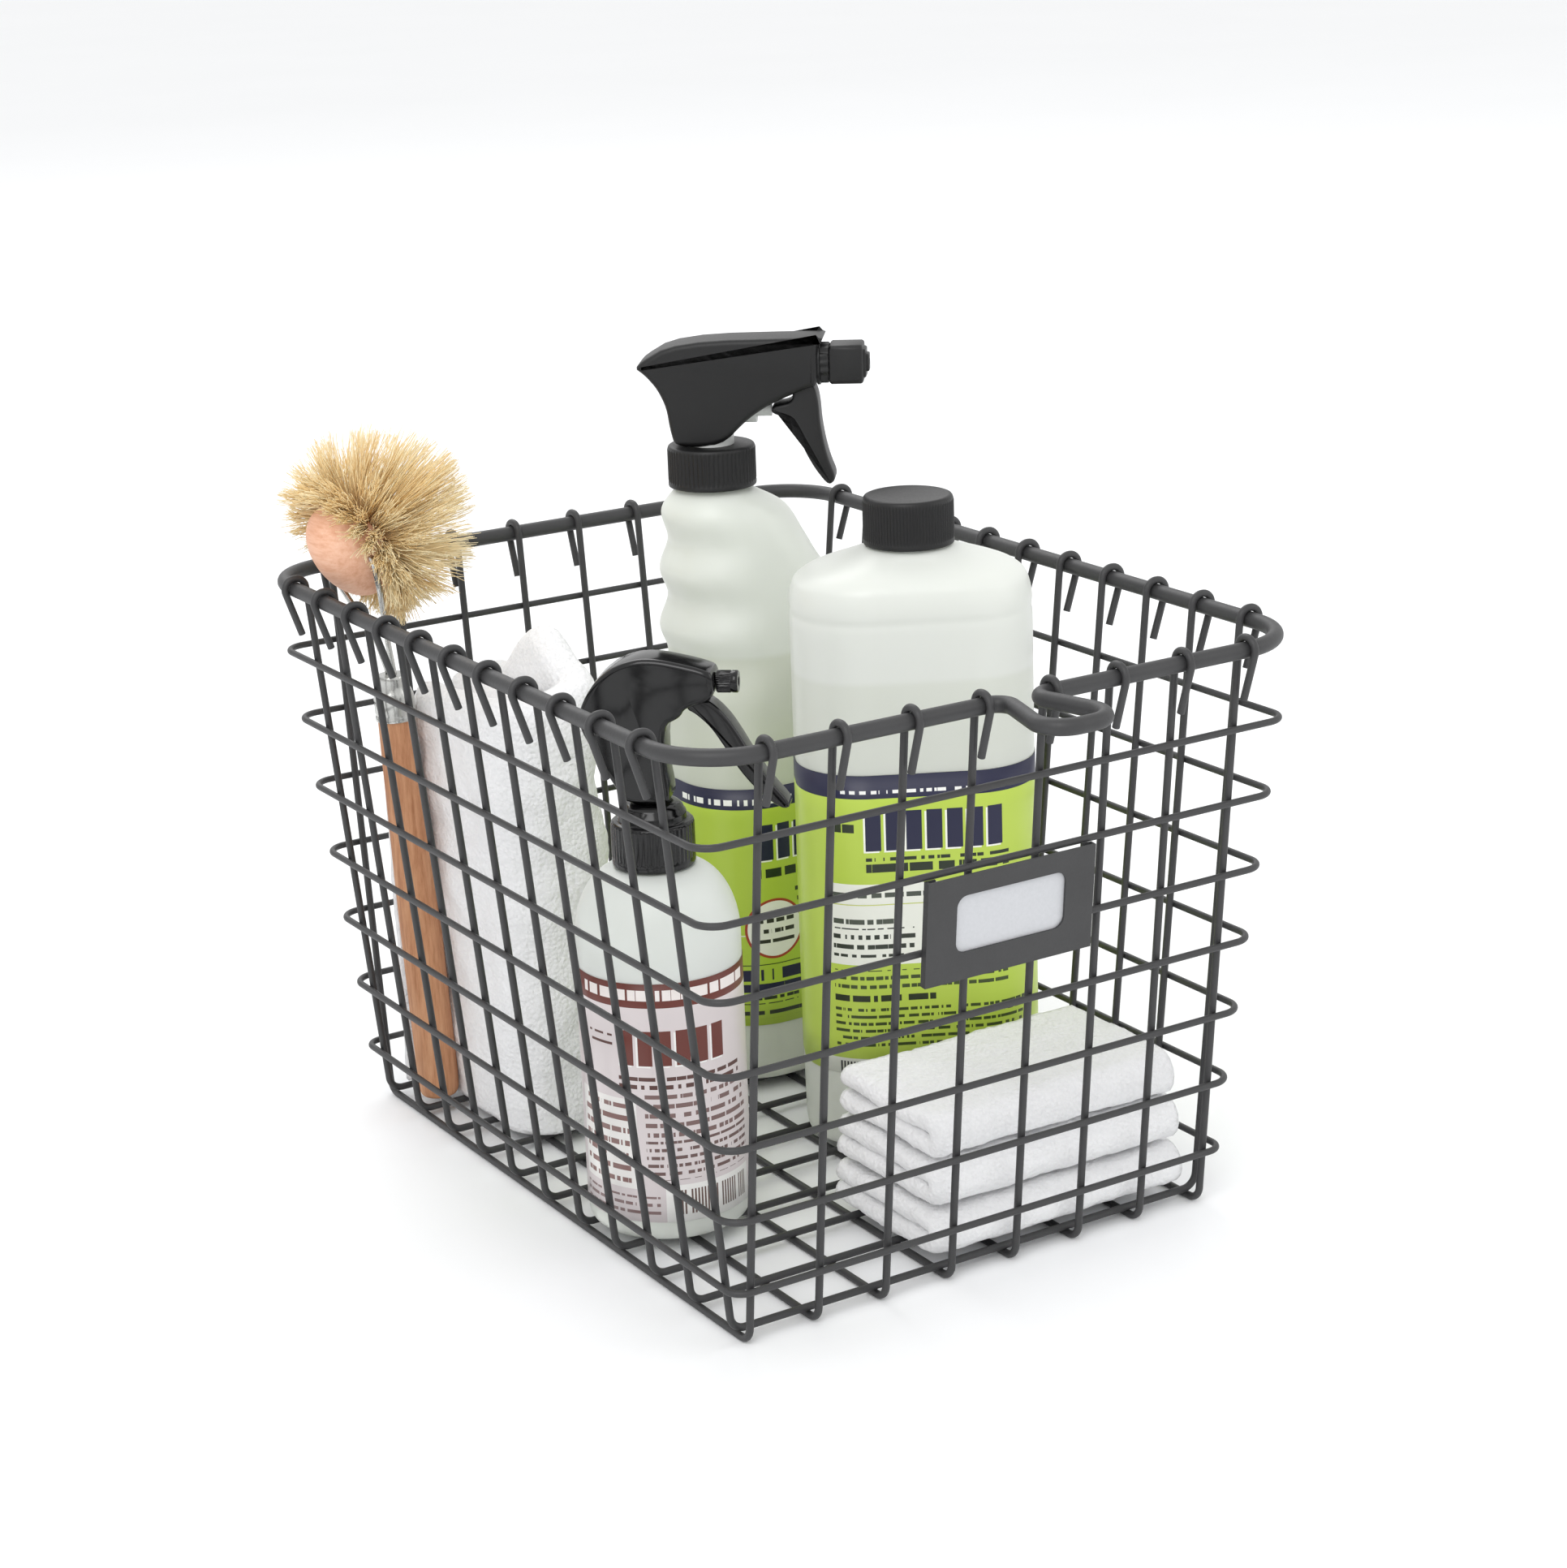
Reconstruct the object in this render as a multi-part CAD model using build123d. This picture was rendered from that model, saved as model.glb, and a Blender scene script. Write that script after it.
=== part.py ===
from build123d import *
import os
from math import atan, cos, degrees, hypot, radians, sin

# Housekeeping caddy: a welded wire basket with a label holder, and the kit that stands in it.
# Millimetres, +Z up. The front, with the handle loop and the label, faces -Y.
# The origin is the centre of the basket's underside, on the surface it stands on.

# ---- driving dimensions: basket ----
floor_half_x = 95.9         # centre of the basket to the mesh's centreline at the floor, across
floor_half_y = 133.0        # and front to back
flare_x = 23.1              # from there out to the rim wire's centreline, across
flare_y = 24.0              # and front to back
rim_z = 206.8               # height of the rim wire's centreline
rim_wire_d = 5.6
mesh_wire_d = 2.6
hoop_wire_d = 2.4
weld_gap = 0.04             # wires that are welded on the real basket lie this close
rim_corner_r = 26.0
cross_count = 11            # wires that run left to right under the floor and up both sides
long_count = 8              # wires that run front to back
hoop_count = 7
cross_end_in = 6.0          # the outermost cross wires, in from the floor's edge
long_end_in = 3.0           # the outermost long wires
hoop_first_z = 21.1
top_hoop_drop = 28.2        # from the rim's centreline down to the top hoop
hoop_corner_r = 8.0
hook_ease = 0.24            # a hook's bend is this much tighter than its distance from the rim's centre
floor_bend_r = 5.5
tail_drop = 17.0            # how far a hook's tail hangs below the rim's centre
tail_in = 5.6               # how far the tail slants back to the mesh

# handle loop bent into the front of the rim
loop_neck_half = 4.6
loop_out_half = 14.5
loop_depth = 36.0
loop_neck_r = 5.5
loop_out_r = 9.0

# ---- driving dimensions: label holder ----
holder_width = 66.0
holder_height = 36.5
holder_top_z = 152.0
holder_sheet = 0.8
window_width = 43.0
window_height = 20.0
window_r = 4.0
window_low = 9.5            # from the holder's bottom edge to the window
lip_width = 4.0
card_thick = 0.4
card_gap = 0.3

# ---- driving dimensions: tall trigger bottle ----
rest_gap = 0.05             # under everything that stands on the floor wires
wall = 1.2                  # blown bottles
fluid_gap = 0.08            # between a bottle and what fills it
label_thick = 0.2
label_gap = 0.03
oval_corner = 0.86          # how round the oval bottles are, as a share of their half depth
tall_half_width = 43.0
tall_half_depth = 30.0
tall_height = 229.0         # from the base to the shoulder under the collar
tall_neck_back = 23.0       # the neck stands this far behind the middle of the body
tall_neck_r = 12.3
tall_collar_over = 4.1      # the collar's radius over the neck's
tall_collar_h = 15.6
tall_fill = 168.0
tall_grip_depth = 3.6
tall_grip_pitch = 22.2
tall_grip_span = 79.0       # from the shoulder down to the straight part of the body
tall_label_low = 23.5
tall_label_drop = 32.0      # from the top of the straight part down to the label
tall_turn = -37.0           # which way the nozzle points
tall_head_width = 19.0
shroud_wall = 1.5
trigger_side = 1.5          # clear on each side of the trigger, inside the shroud

# ---- driving dimensions: refill bottle ----
refill_half_width = 43.0
refill_half_depth = 29.0
refill_body_h = 206.0
refill_shoulder_h = 13.5
refill_neck_r = 13.0
refill_cap_over = 3.2       # the cap's radius over the neck's
refill_cap_h = 17.5
refill_air = 30.0           # from the top of the body down to the fluid
refill_label_low = 30.0
refill_label_drop = 63.0    # from the top of the body down to the label
refill_turn = -28.0

# ---- driving dimensions: small trigger bottle ----
small_r = 28.5
small_body_h = 103.0
small_shoulder_h = 25.5
small_neck_r = 10.8
small_collar_over = 3.5
small_collar_h = 22.5
small_air = 11.0
small_label_low = 8.0
small_label_drop = 8.0
small_turn = -40.0
small_head_width = 15.0
small_cheek = 2.5           # what the trigger's slot leaves of the head on each side

# ---- driving dimensions: dish brush ----
brush_handle_len = 155.0
brush_handle_r = 7.8
ferrule_len = 13.0
brush_wire_d = 2.2
brush_head_r = 18.5
brush_head_back = 12.5      # the wooden block, from its pivot to the crown of its back
brush_head_front = 8.0      # and to the face that holds the bristles
brush_head_z = 217.0        # pivot above the handle's end
brush_head_x = -11.0
brush_face_angle = 28.0     # which way the bristles point, above the level
bristle_r = 37.0
bristle_out = 24.0          # centre of the tuft's ball from the pivot
bristle_gap = 0.05          # between the block's face and the tufts
brush_lean_x = 2.0          # degrees that the brush leans to the side wall
brush_lean_y = 1.5          # and to the back

# ---- driving dimensions: towel and cloths ----
towel_width = 41.0
towel_depth = 62.0          # from the brush forward
towel_height = 197.0
towel_low_height = 172.0
towel_peak_width = 22.0
towel_flap_height = 156.0
towel_flap_thick = 8.64     # the flap stands between the brush and the back mesh
flap_in = 0.5               # and this far in from the main fold's back
towel_gap = 2.5
cloth_length = 104.0
cloth_depth = 69.0
cloth_thick = 17.0
cloth_r = 7.5
cloth_gap = 0.4

# ---- driving dimensions: where the kit stands ----
kit_gap = 1.2               # between the kit and the mesh at the front and back
tall_side_gap = 1.8         # each piece's own gap to the side mesh, at the floor
refill_side_gap = -0.19     # its foot is set in, so its body can overhang the floor's edge
small_side_gap = 0.6
brush_side_gap = 2.2
cloth_side_gap = 6.2
cloth_to_refill = 3.5       # clear floor from the cloths back to the refill bottle
refill_to_tall = 25.0       # and from there back to the tall bottle
small_front_room = 67.2     # clear floor in front of the small bottle
beyond = 99.0               # a cutting tool's reach past any piece

# ---- places worked out from the sizes ----
mesh_r = mesh_wire_d / 2
rim_r = rim_wire_d / 2
hoop_r = hoop_wire_d / 2
rim_half_x = floor_half_x + flare_x
rim_half_y = floor_half_y + flare_y
hook_off = rim_r + mesh_r + weld_gap
hook_r = hook_off - hook_ease
long_z = mesh_r
cross_z = long_z + mesh_wire_d + weld_gap
base_z = cross_z + mesh_r + rest_gap
inner_x = floor_half_x - mesh_r         # the clear half-width between the side meshes, at the floor
inner_y = floor_half_y - mesh_r
slope_x = (rim_half_x - hook_off - floor_half_x) / (rim_z - cross_z)
slope_y = (rim_half_y - hook_off - floor_half_y) / (rim_z - long_z)
cross_end_y = floor_half_y - cross_end_in
long_end_x = floor_half_x - long_end_in
cross_pitch = 2 * cross_end_y / (cross_count - 1)
long_pitch = 2 * long_end_x / (long_count - 1)
hoop_pitch = (rim_z - top_hoop_drop - hoop_first_z) / (hoop_count - 1)

tall_collar_r = tall_neck_r + tall_collar_over
tall_trigger_width = tall_head_width - 2 * (shroud_wall + trigger_side)
tall_straight = tall_height - tall_grip_span
tall_label_high = tall_straight - tall_label_drop
refill_height = refill_body_h + refill_shoulder_h
refill_cap_r = refill_neck_r + refill_cap_over
refill_fill = refill_body_h - refill_air
refill_label_high = refill_body_h - refill_label_drop
small_height = small_body_h + small_shoulder_h
small_collar_r = small_neck_r + small_collar_over
small_fill = small_body_h - small_air
small_label_high = small_body_h - small_label_drop
small_trigger_width = small_head_width - 2 * small_cheek


def turned_reach(half, depth, angle):
    """How far a rounded oval bottle reaches along X and Y when it is turned."""
    corner = oval_corner * min(half, depth)
    c, s = abs(cos(radians(angle))), abs(sin(radians(angle)))
    flat, side = half - corner, depth - corner
    return flat * c + side * s + corner, flat * s + side * c + corner


refill_reach = turned_reach(refill_half_width, refill_half_depth, refill_turn)
brush_sway = brush_handle_len * sin(radians(brush_lean_y))
cloth_back = cloth_depth + kit_gap - inner_y
cloth_at = (inner_x - cloth_side_gap - cloth_length / 2, cloth_back - cloth_depth / 2)
refill_at = (inner_x - refill_side_gap - refill_reach[0], cloth_back + cloth_to_refill + refill_reach[1])
tall_front = refill_at[1] + refill_reach[1] + refill_to_tall
tall_at = (inner_x - tall_side_gap - tall_half_width, tall_front + tall_half_depth)
tall_neck = (tall_at[0] - tall_neck_back, tall_at[1])
small_at = (small_side_gap + small_r - inner_x, small_front_room + small_r - inner_y)
towel_back = inner_y - kit_gap
towel_behind = towel_back - flap_in - towel_flap_thick
brush_at = (brush_side_gap + brush_handle_r - inner_x, towel_behind - towel_gap - brush_sway - brush_handle_r)

NODES = {}


def tube(path, radius):
    """A round wire along a path."""
    return sweep((path ^ 0) * Circle(radius), path=path)


def ring(outer, inner, low, high):
    """A round sleeve about Z."""
    body = Pos(0, 0, low) * Cylinder(outer, high - low, align=(Align.CENTER, Align.CENTER, Align.MIN))
    bore = Pos(0, 0, low - 1) * Cylinder(inner, high - low + 2, align=(Align.CENTER, Align.CENTER, Align.MIN))
    return body - bore


def rod(radius, low, high):
    """A round bar about Z."""
    return Pos(0, 0, low) * Cylinder(radius, high - low, align=(Align.CENTER, Align.CENTER, Align.MIN))


def turned(points):
    """A body turned about Z from its outline, given as radius and height."""
    return revolve(Plane.XZ * make_face(Polyline(*points, close=True)), Axis.Z)


def plate(points, width):
    """An upright plate in the local X-Z plane, centred on it, from an outline."""
    return extrude(Plane.XZ * make_face(Polyline(*points, close=True)), amount=width / 2, both=True)


# ---- basket ----

def hooked_wire(half_rim, half_floor, floor_z, slope):
    """Centreline of one mesh wire in its own plane: tail, hook, wall, floor, wall, hook, tail."""
    top = rim_z + hook_off
    tail_slope = tail_in / tail_drop
    outside = half_rim + hook_off * hypot(1, tail_slope)
    inside = half_rim - hook_off * hypot(1, slope)
    side = [
        (outside - tail_in, rim_z - tail_drop),
        (outside + tail_slope * hook_off, top),
        (inside + slope * hook_off, top),
        (half_floor, floor_z),
    ]
    points = [(-s, z) for s, z in side] + [(s, z) for s, z in reversed(side)]
    return FilletPolyline(*points, radius=[hook_r, hook_r, floor_bend_r, floor_bend_r, hook_r, hook_r])


def cross_wire(y):
    path = Plane.XZ * hooked_wire(rim_half_x, floor_half_x, cross_z, slope_x)
    return Pos(0, y, 0) * tube(path, mesh_r)


def long_wire(x):
    path = Plane.YZ * hooked_wire(rim_half_y, floor_half_y, long_z, slope_y)
    return Pos(x, 0, 0) * tube(path, mesh_r)


def hoop(z):
    """A level wire round the outside of the mesh."""
    off = mesh_r + hoop_r + weld_gap
    half_x = floor_half_x + slope_x * (z - cross_z) + off / cos(atan(slope_x))
    half_y = floor_half_y + slope_y * (z - long_z) + off / cos(atan(slope_y))
    corner = min(hoop_corner_r, half_x - long_end_x - mesh_r, half_y - cross_end_y - mesh_r)
    path = Pos(0, 0, z) * RectangleRounded(2 * half_x, 2 * half_y, corner).wire()
    return tube(path, hoop_r)


def rim():
    """The heavy rim wire, with the handle loop in its front."""
    x, y = rim_half_x, rim_half_y
    points = [
        (-x, y), (-x, -y),
        (-loop_neck_half, -y), (-loop_out_half, -y - loop_depth),
        (loop_out_half, -y - loop_depth), (loop_neck_half, -y),
        (x, -y), (x, y),
    ]
    corner, neck, out = rim_corner_r, loop_neck_r, loop_out_r
    radii = [corner, corner, neck, out, out, neck, corner, corner]
    path = Pos(0, 0, rim_z) * FilletPolyline(*points, radius=radii, close=True)
    return tube(path, rim_r)


NODES["rim_wire"] = rim()
for i in range(cross_count):
    NODES[f"cross_wire_{i + 1:02d}"] = cross_wire((i - (cross_count - 1) / 2) * cross_pitch)
for i in range(long_count):
    NODES[f"long_wire_{i + 1:02d}"] = long_wire((i - (long_count - 1) / 2) * long_pitch)
for i in range(hoop_count):
    NODES[f"hoop_wire_{i + 1}"] = hoop(hoop_first_z + i * hoop_pitch)

# ---- label holder: local Z runs up the leaning front, local -Y is outward ----

holder_lean = degrees(atan(slope_y))
holder_bottom_z = holder_top_z - holder_height
hoop_face = mesh_r + 2 * hoop_r + weld_gap
holder_foot_y = -floor_half_y - slope_y * (holder_bottom_z - long_z)
holder_place = Pos(0, holder_foot_y, holder_bottom_z) * Rot(holder_lean, 0, 0)
back_y = -hoop_face - weld_gap
pocket = card_thick + 2 * card_gap
front_y = back_y - 2 * holder_sheet - pocket


def box(x0, x1, y0, y1, z0, z1):
    return Pos((x0 + x1) / 2, (y0 + y1) / 2, (z0 + z1) / 2) * Box(x1 - x0, y1 - y0, z1 - z0)


def above(level):
    """Cuts off everything over a level."""
    return box(-beyond, beyond, -beyond, beyond, level, level + 2 * beyond)


def label_holder():
    half = holder_width / 2
    front = box(-half, half, front_y, front_y + holder_sheet, 0, holder_height)
    window = Pos(0, front_y, window_low + window_height / 2) * Rot(90, 0, 0)
    front -= window * extrude(RectangleRounded(window_width, window_height, window_r), amount=4, both=True)
    body = front + box(-half, half, front_y, back_y, 0, holder_sheet)
    for s in (-1, 1):
        edge, lip = sorted((s * half, s * (half - lip_width)))
        wall_a, wall_b = sorted((s * half, s * (half - holder_sheet)))
        body += box(edge, lip, back_y - holder_sheet, back_y, 0, holder_height)
        body += box(wall_a, wall_b, front_y, back_y, 0, holder_height)
    return body


def label_card():
    half = holder_width / 2 - holder_sheet - card_gap
    card_front = front_y + holder_sheet + card_gap
    return box(-half, half, card_front, card_front + card_thick, holder_sheet + card_gap, holder_height - 0.5)


NODES["label_holder"] = holder_place * label_holder()
NODES["label_card"] = holder_place * label_card()

# ---- tall trigger bottle ----

tall_shoulder = base_z + tall_height


def tall_sections():
    """Height, left reach, right reach and half depth of each cross-section of the body."""
    w, d, g, top = tall_half_width, tall_half_depth, tall_grip_depth, tall_height
    neck = tall_neck_back
    rows = [
        (0, w - 4, w - 4, d - 4), (4, w - 0.4, w - 0.4, d - 0.4), (60, w, w, d), (tall_straight, w, w, d),
        (top - 2.9 * tall_grip_pitch, w - g, w - 0.6, d - 0.4), (top - 2.4 * tall_grip_pitch, w, w - 4, d - 1.4),
        (top - 1.9 * tall_grip_pitch, w - g, w - 13, d - 2.8), (top - 1.4 * tall_grip_pitch, w, w - 24, d - 4.6),
        (top - 0.9 * tall_grip_pitch, w - g, w - 34, d - 7), (top - 0.42 * tall_grip_pitch, w - 0.6, w - 43, d - 10.5),
        (top, neck + tall_neck_r + 2, tall_neck_r + 2 - neck, tall_neck_r + 2),
    ]
    return rows


def oval(x, z, half, depth, inset):
    """A level cross-section of an oval bottle, with its sides set in by a wall."""
    corner = oval_corner * min(half, depth) - inset
    return Pos(x, 0, z) * RectangleRounded(2 * (half - inset), 2 * (depth - inset), corner)


def tall_body(inset):
    rows = tall_sections()
    faces = []
    for z, left, right, depth in rows:
        level = min(max(z, inset), tall_height - inset)
        faces.append(oval((right - left) / 2, level, (left + right) / 2, depth, inset))
    return loft(faces, ruled=True)


def tall_place(part):
    return Pos(tall_at[0], tall_at[1], base_z) * part


neck_in_body = Pos(-tall_neck_back, 0, 0)
tube_r = 2.4
tube_foot = 9.0
tube_room = 0.3             # round a dip tube, inside the fluid
mouth_drop = 3.0            # from the top of a closure down to the mouth of its bottle
tall_neck_top = tall_height + tall_collar_h - mouth_drop


def tall_bottle():
    body = tall_body(0) + neck_in_body * rod(tall_neck_r, tall_height - 1, tall_neck_top)
    cavity = tall_body(wall) + neck_in_body * rod(tall_neck_r - wall, tall_height - 2, tall_neck_top + 1)
    return body - cavity


def tall_liquid():
    fluid = tall_body(wall + fluid_gap) - above(tall_fill)
    return fluid - neck_in_body * rod(tube_r + tube_room, wall, tall_height)


def band(half_w, half_d, low, high):
    """A label wrapped round an oval body."""
    def layer(grow):
        corner = oval_corner * min(half_w, half_d) + grow
        outline = Pos(0, 0, low) * RectangleRounded(2 * (half_w + grow), 2 * (half_d + grow), corner)
        return extrude(outline, amount=high - low)
    return layer(label_gap + label_thick) - layer(label_gap)


def in_head(part):
    """From the spray head's own frame, X along the nozzle and Z from the collar's foot, to the caddy's."""
    return Pos(tall_neck[0], tall_neck[1], tall_shoulder) * Rot(0, 0, tall_turn) * part


collar_lip = 1.6
pump_r = 8.6
stem_r = 11.8
seat = 0.3                  # running clearance between parts that turn or lift
barrel_x = 30.0
barrel_z = 45.0
nozzle_r = 5.2
piston_r = 3.0
piston_z = 28.5


def tall_collar():
    sleeve = ring(tall_collar_r, tall_neck_r + seat, 0.3, tall_collar_h - collar_lip)
    return sleeve + ring(tall_collar_r - 0.6, pump_r + seat, tall_collar_h - collar_lip, tall_collar_h)


def tall_pump_body():
    """Valve body: a flange on the bottle's mouth, the riser, the pump barrel and the outlet tube."""
    mouth = tall_collar_h - mouth_drop + 0.1
    flange = rod(tall_neck_r - 0.4, mouth, tall_collar_h - collar_lip - 0.1)
    riser = rod(pump_r, mouth, 38.0)
    plug = rod(tall_neck_r - wall - seat, 4.0, mouth)
    outlet = Pos(0, 0, barrel_z) * Rot(0, 90, 0) * rod(3.6, -6.0, barrel_x + 8.0)
    chimney = rod(5.0, 36.0, barrel_z)
    barrel = Pos(0, 0, piston_z) * Rot(0, 90, 0) * rod(piston_r + 2.2, 4.0, 17.5)
    body = flange + riser + plug + outlet + chimney + barrel
    body -= Pos(0, 0, piston_z) * Rot(0, 90, 0) * rod(piston_r + seat, 6.0, 18.0)
    return body - rod(tube_r + 0.05, 3.0, 16.0)


shroud_outline = [
    (-12.5, 15.2), (4.6, 15.2), (15.0, 25.4), (24.0, 31.0), (38.0, 36.6), (41.0, 37.2), (41.0, 54.0),
    (44.5, 55.0), (-10.9, 54.6), (-27.0, 45.4), (-22.5, 42.0), (-18.2, 36.8), (-15.2, 30.0), (-14.2, 22.0),
]
shroud_lift = 0.6           # over the collar, so the collar turns under it


def tall_shroud():
    """Upper casing of the spray head, open below over the pump and the trigger's arm."""
    casing = Pos(0, 0, shroud_lift) * plate(shroud_outline, tall_head_width)
    casing = fillet(casing.edges().filter_by(Axis.Y, reverse=True).group_by(Axis.Z)[-1], 2.4)
    inside = tall_head_width / 2 - shroud_wall
    cavity = box(-12.2, 39.5, -inside, inside, 10.0, 50.5)
    return casing - cavity - rod(stem_r - 1.6, 10.0, 40.0)


trigger_pivot = (34.5, 38.4)
trigger_outline = [
    (31.8, 40.3), (37.2, 40.8), (38.6, 38.4), (40.2, 34.6), (40.9, 30.0), (41.2, 24.0), (42.2, 17.0),
    (43.8, 10.0), (46.6, 2.6), (43.6, 0.0), (39.0, 6.0), (35.4, 12.6), (32.6, 19.8), (31.0, 25.4),
    (23.4, 27.2), (23.4, 30.2), (31.0, 31.4), (31.6, 36.0),
]


def tall_trigger():
    lever = plate(trigger_outline, tall_trigger_width)
    return lever - Pos(trigger_pivot[0], 0, trigger_pivot[1]) * Rot(90, 0, 0) * Cylinder(1.6, 30)


def tall_piston():
    """Plunger that the trigger's arm drives into the barrel."""
    return Pos(0, 0, piston_z) * Rot(0, 90, 0) * rod(piston_r, 12.0, 23.0)


def tall_nozzle():
    """Square nozzle cap that twists on the outlet tube."""
    body = box(45.2, 57.5, -7.2, 7.2, barrel_z - 7.2, barrel_z + 7.2)
    body = fillet(body.edges().filter_by(Axis.X), 1.8)
    tip = Pos(0, 0, barrel_z) * Rot(0, 90, 0) * rod(nozzle_r, 57.0, 59.6)
    bore = Pos(0, 0, barrel_z) * Rot(0, 90, 0) * rod(1.0, 44.0, 60.0)
    return body + tip - bore


NODES["tall_bottle"] = tall_place(tall_bottle())
NODES["tall_liquid"] = tall_place(tall_liquid())
NODES["tall_label"] = tall_place(band(tall_half_width, tall_half_depth, tall_label_low, tall_label_high))
NODES["tall_collar"] = in_head(tall_collar())
NODES["tall_pump_body"] = in_head(tall_pump_body())
NODES["tall_shroud"] = in_head(tall_shroud())
NODES["tall_trigger"] = in_head(tall_trigger())
NODES["tall_piston"] = in_head(tall_piston())
NODES["tall_nozzle"] = in_head(tall_nozzle())
NODES["tall_dip_tube"] = in_head(ring(tube_r, tube_r - 0.8, tube_foot - tall_height, 15.0))

# ---- refill bottle ----


def refill_body(inset):
    w, d, body, top = refill_half_width, refill_half_depth, refill_body_h, refill_height
    rows = [
        (0, w - 3.5, d - 3.5), (3.5, w - 0.3, d - 0.3), (60, w, d), (body - 14, w, d),
        (body - 4, w - 2.6, d - 2.2), (body + 3, w - 11, d - 7), (body + 8.5, w - 21, d - 11.5),
        (top, refill_neck_r + 2.5, refill_neck_r + 1.5),
    ]
    return loft([oval(0, min(max(z, inset), top - inset), a, b, inset) for z, a, b in rows], ruled=True)


def refill_place(part):
    return Pos(refill_at[0], refill_at[1], base_z) * Rot(0, 0, refill_turn) * part


refill_neck_top = refill_height + refill_cap_h - mouth_drop


def refill_bottle():
    body = refill_body(0) + rod(refill_neck_r, refill_height - 1, refill_neck_top)
    return body - refill_body(wall) - rod(refill_neck_r - wall, refill_height - 2, refill_neck_top + 1)


def refill_liquid():
    return refill_body(wall + fluid_gap) - above(refill_fill)


def refill_cap():
    low, high = refill_height + 0.3, refill_height + refill_cap_h
    cap = rod(refill_cap_r, low, high) - rod(refill_neck_r + seat, low - 1, high - 1.6)
    return fillet(cap.edges().group_by(Axis.Z)[-1], 1.0)


NODES["refill_bottle"] = refill_place(refill_bottle())
NODES["refill_liquid"] = refill_place(refill_liquid())
refill_wrap = band(refill_half_width, refill_half_depth, refill_label_low, refill_label_high)
NODES["refill_label"] = refill_place(refill_wrap)
NODES["refill_cap"] = refill_place(refill_cap())

# ---- small trigger bottle ----


def small_outline(inset, low):
    """Outline of the round body, from the base's centre to the neck."""
    r, body, top, n = small_r, small_body_h, small_height, small_neck_r
    points = [(0, low), (r - 5 - inset, low), (r - 1.2 - inset, low + 1.5), (r - inset, low + 5), (r - inset, body)]
    drop = top - body
    for k in range(1, 7):
        a = radians(15 * k)
        points.append((n + 1 - inset + (r - n - 1) * cos(a), body + (drop - inset) * sin(a)))
    return points + [(0, points[-1][1])]


def small_place(part):
    return Pos(small_at[0], small_at[1], base_z) * part


def in_small_head(part):
    return Pos(small_at[0], small_at[1], base_z + small_height) * Rot(0, 0, small_turn) * part


small_neck_top = small_height + 12.0


def small_bottle():
    body = turned(small_outline(0, 0)) + rod(small_neck_r, small_height - 1, small_neck_top)
    bore = rod(small_neck_r - wall, small_height - 3, small_neck_top + 1)
    return body - turned(small_outline(wall, wall)) - bore


def small_liquid():
    fluid = turned(small_outline(wall + fluid_gap, wall + fluid_gap))
    return fluid - above(small_fill) - rod(tube_r + tube_room, 0.5, small_height)


small_nozzle_r = 3.8
small_nozzle_z = 64.2
small_pivot = (17.4, 56.8)
small_head_outline = [
    (-7.5, 22.9), (7.5, 22.9), (7.5, 28.0), (6.5, 34.0), (6.5, 50.5), (12.0, 53.0), (14.0, 56.5), (24.0, 59.4),
    (24.0, 68.4), (19.5, 70.2), (13.0, 71.8), (5.0, 73.4), (-2.0, 73.4), (-9.0, 71.2), (-15.5, 66.4),
    (-20.5, 59.0), (-23.0, 51.6), (-17.5, 40.0), (-11.0, 29.0),
]
small_trigger_outline = [
    (14.2, 59.4), (20.4, 59.4), (24.4, 56.6), (28.2, 52.4), (31.6, 47.0), (35.0, 40.8), (40.0, 32.6),
    (48.8, 22.0), (45.2, 20.8), (38.0, 26.2), (31.4, 34.0), (26.6, 42.2), (22.0, 49.4), (17.0, 54.0), (14.2, 55.4),
]


def small_head():
    """One-piece head: the stem in the collar, and the arched casing with its trigger slot."""
    casing = fillet(plate(small_head_outline, small_head_width).edges().filter_by(Axis.Y), 1.6)
    slot = box(8.6, 26.0, -small_trigger_width / 2 - 0.4, small_trigger_width / 2 + 0.4, 48.0, 60.2)
    plug = rod(small_neck_r - wall - seat, 4.0, 12.0)
    flange = rod(small_neck_r - 0.3, 12.1, 18.6)
    stem = rod(6.6, 18.0, 24.0)
    return casing - slot + plug + flange + stem - rod(tube_r + 0.05, 3.0, 13.0)


def small_collar():
    lower = ring(small_collar_r, small_neck_r + seat, 0.3, 16.0)
    upper = ring(small_collar_r - 2.6, small_neck_r + seat, 15.9, 19.0)
    return lower + upper + ring(small_collar_r - 2.6, 6.6 + seat, 18.9, small_collar_h)


def small_trigger():
    lever = plate(small_trigger_outline, small_trigger_width)
    return lever - Pos(small_pivot[0], 0, small_pivot[1]) * Rot(90, 0, 0) * Cylinder(1.2, 30)


def small_nozzle():
    body = rod(small_nozzle_r, 24.2, 31.5) - rod(0.8, 20.0, 40.0)
    return Pos(0, 0, small_nozzle_z) * Rot(0, 90, 0) * body


NODES["small_bottle"] = small_place(small_bottle())
NODES["small_liquid"] = small_place(small_liquid())
small_wrap = ring(small_r + label_gap + label_thick, small_r + label_gap, small_label_low, small_label_high)
NODES["small_label"] = small_place(small_wrap)
NODES["small_collar"] = in_small_head(small_collar())
NODES["small_head"] = in_small_head(small_head())
NODES["small_trigger"] = in_small_head(small_trigger())
NODES["small_nozzle"] = in_small_head(small_nozzle())
NODES["small_dip_tube"] = in_small_head(ring(tube_r, tube_r - 0.8, 7.0 - small_height, 12.0))

# ---- dish brush: local Z along the handle, local X the way the bristles face ----


def in_brush(part):
    return Pos(brush_at[0], brush_at[1], base_z) * Rot(-brush_lean_y, -brush_lean_x, 0) * part


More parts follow.
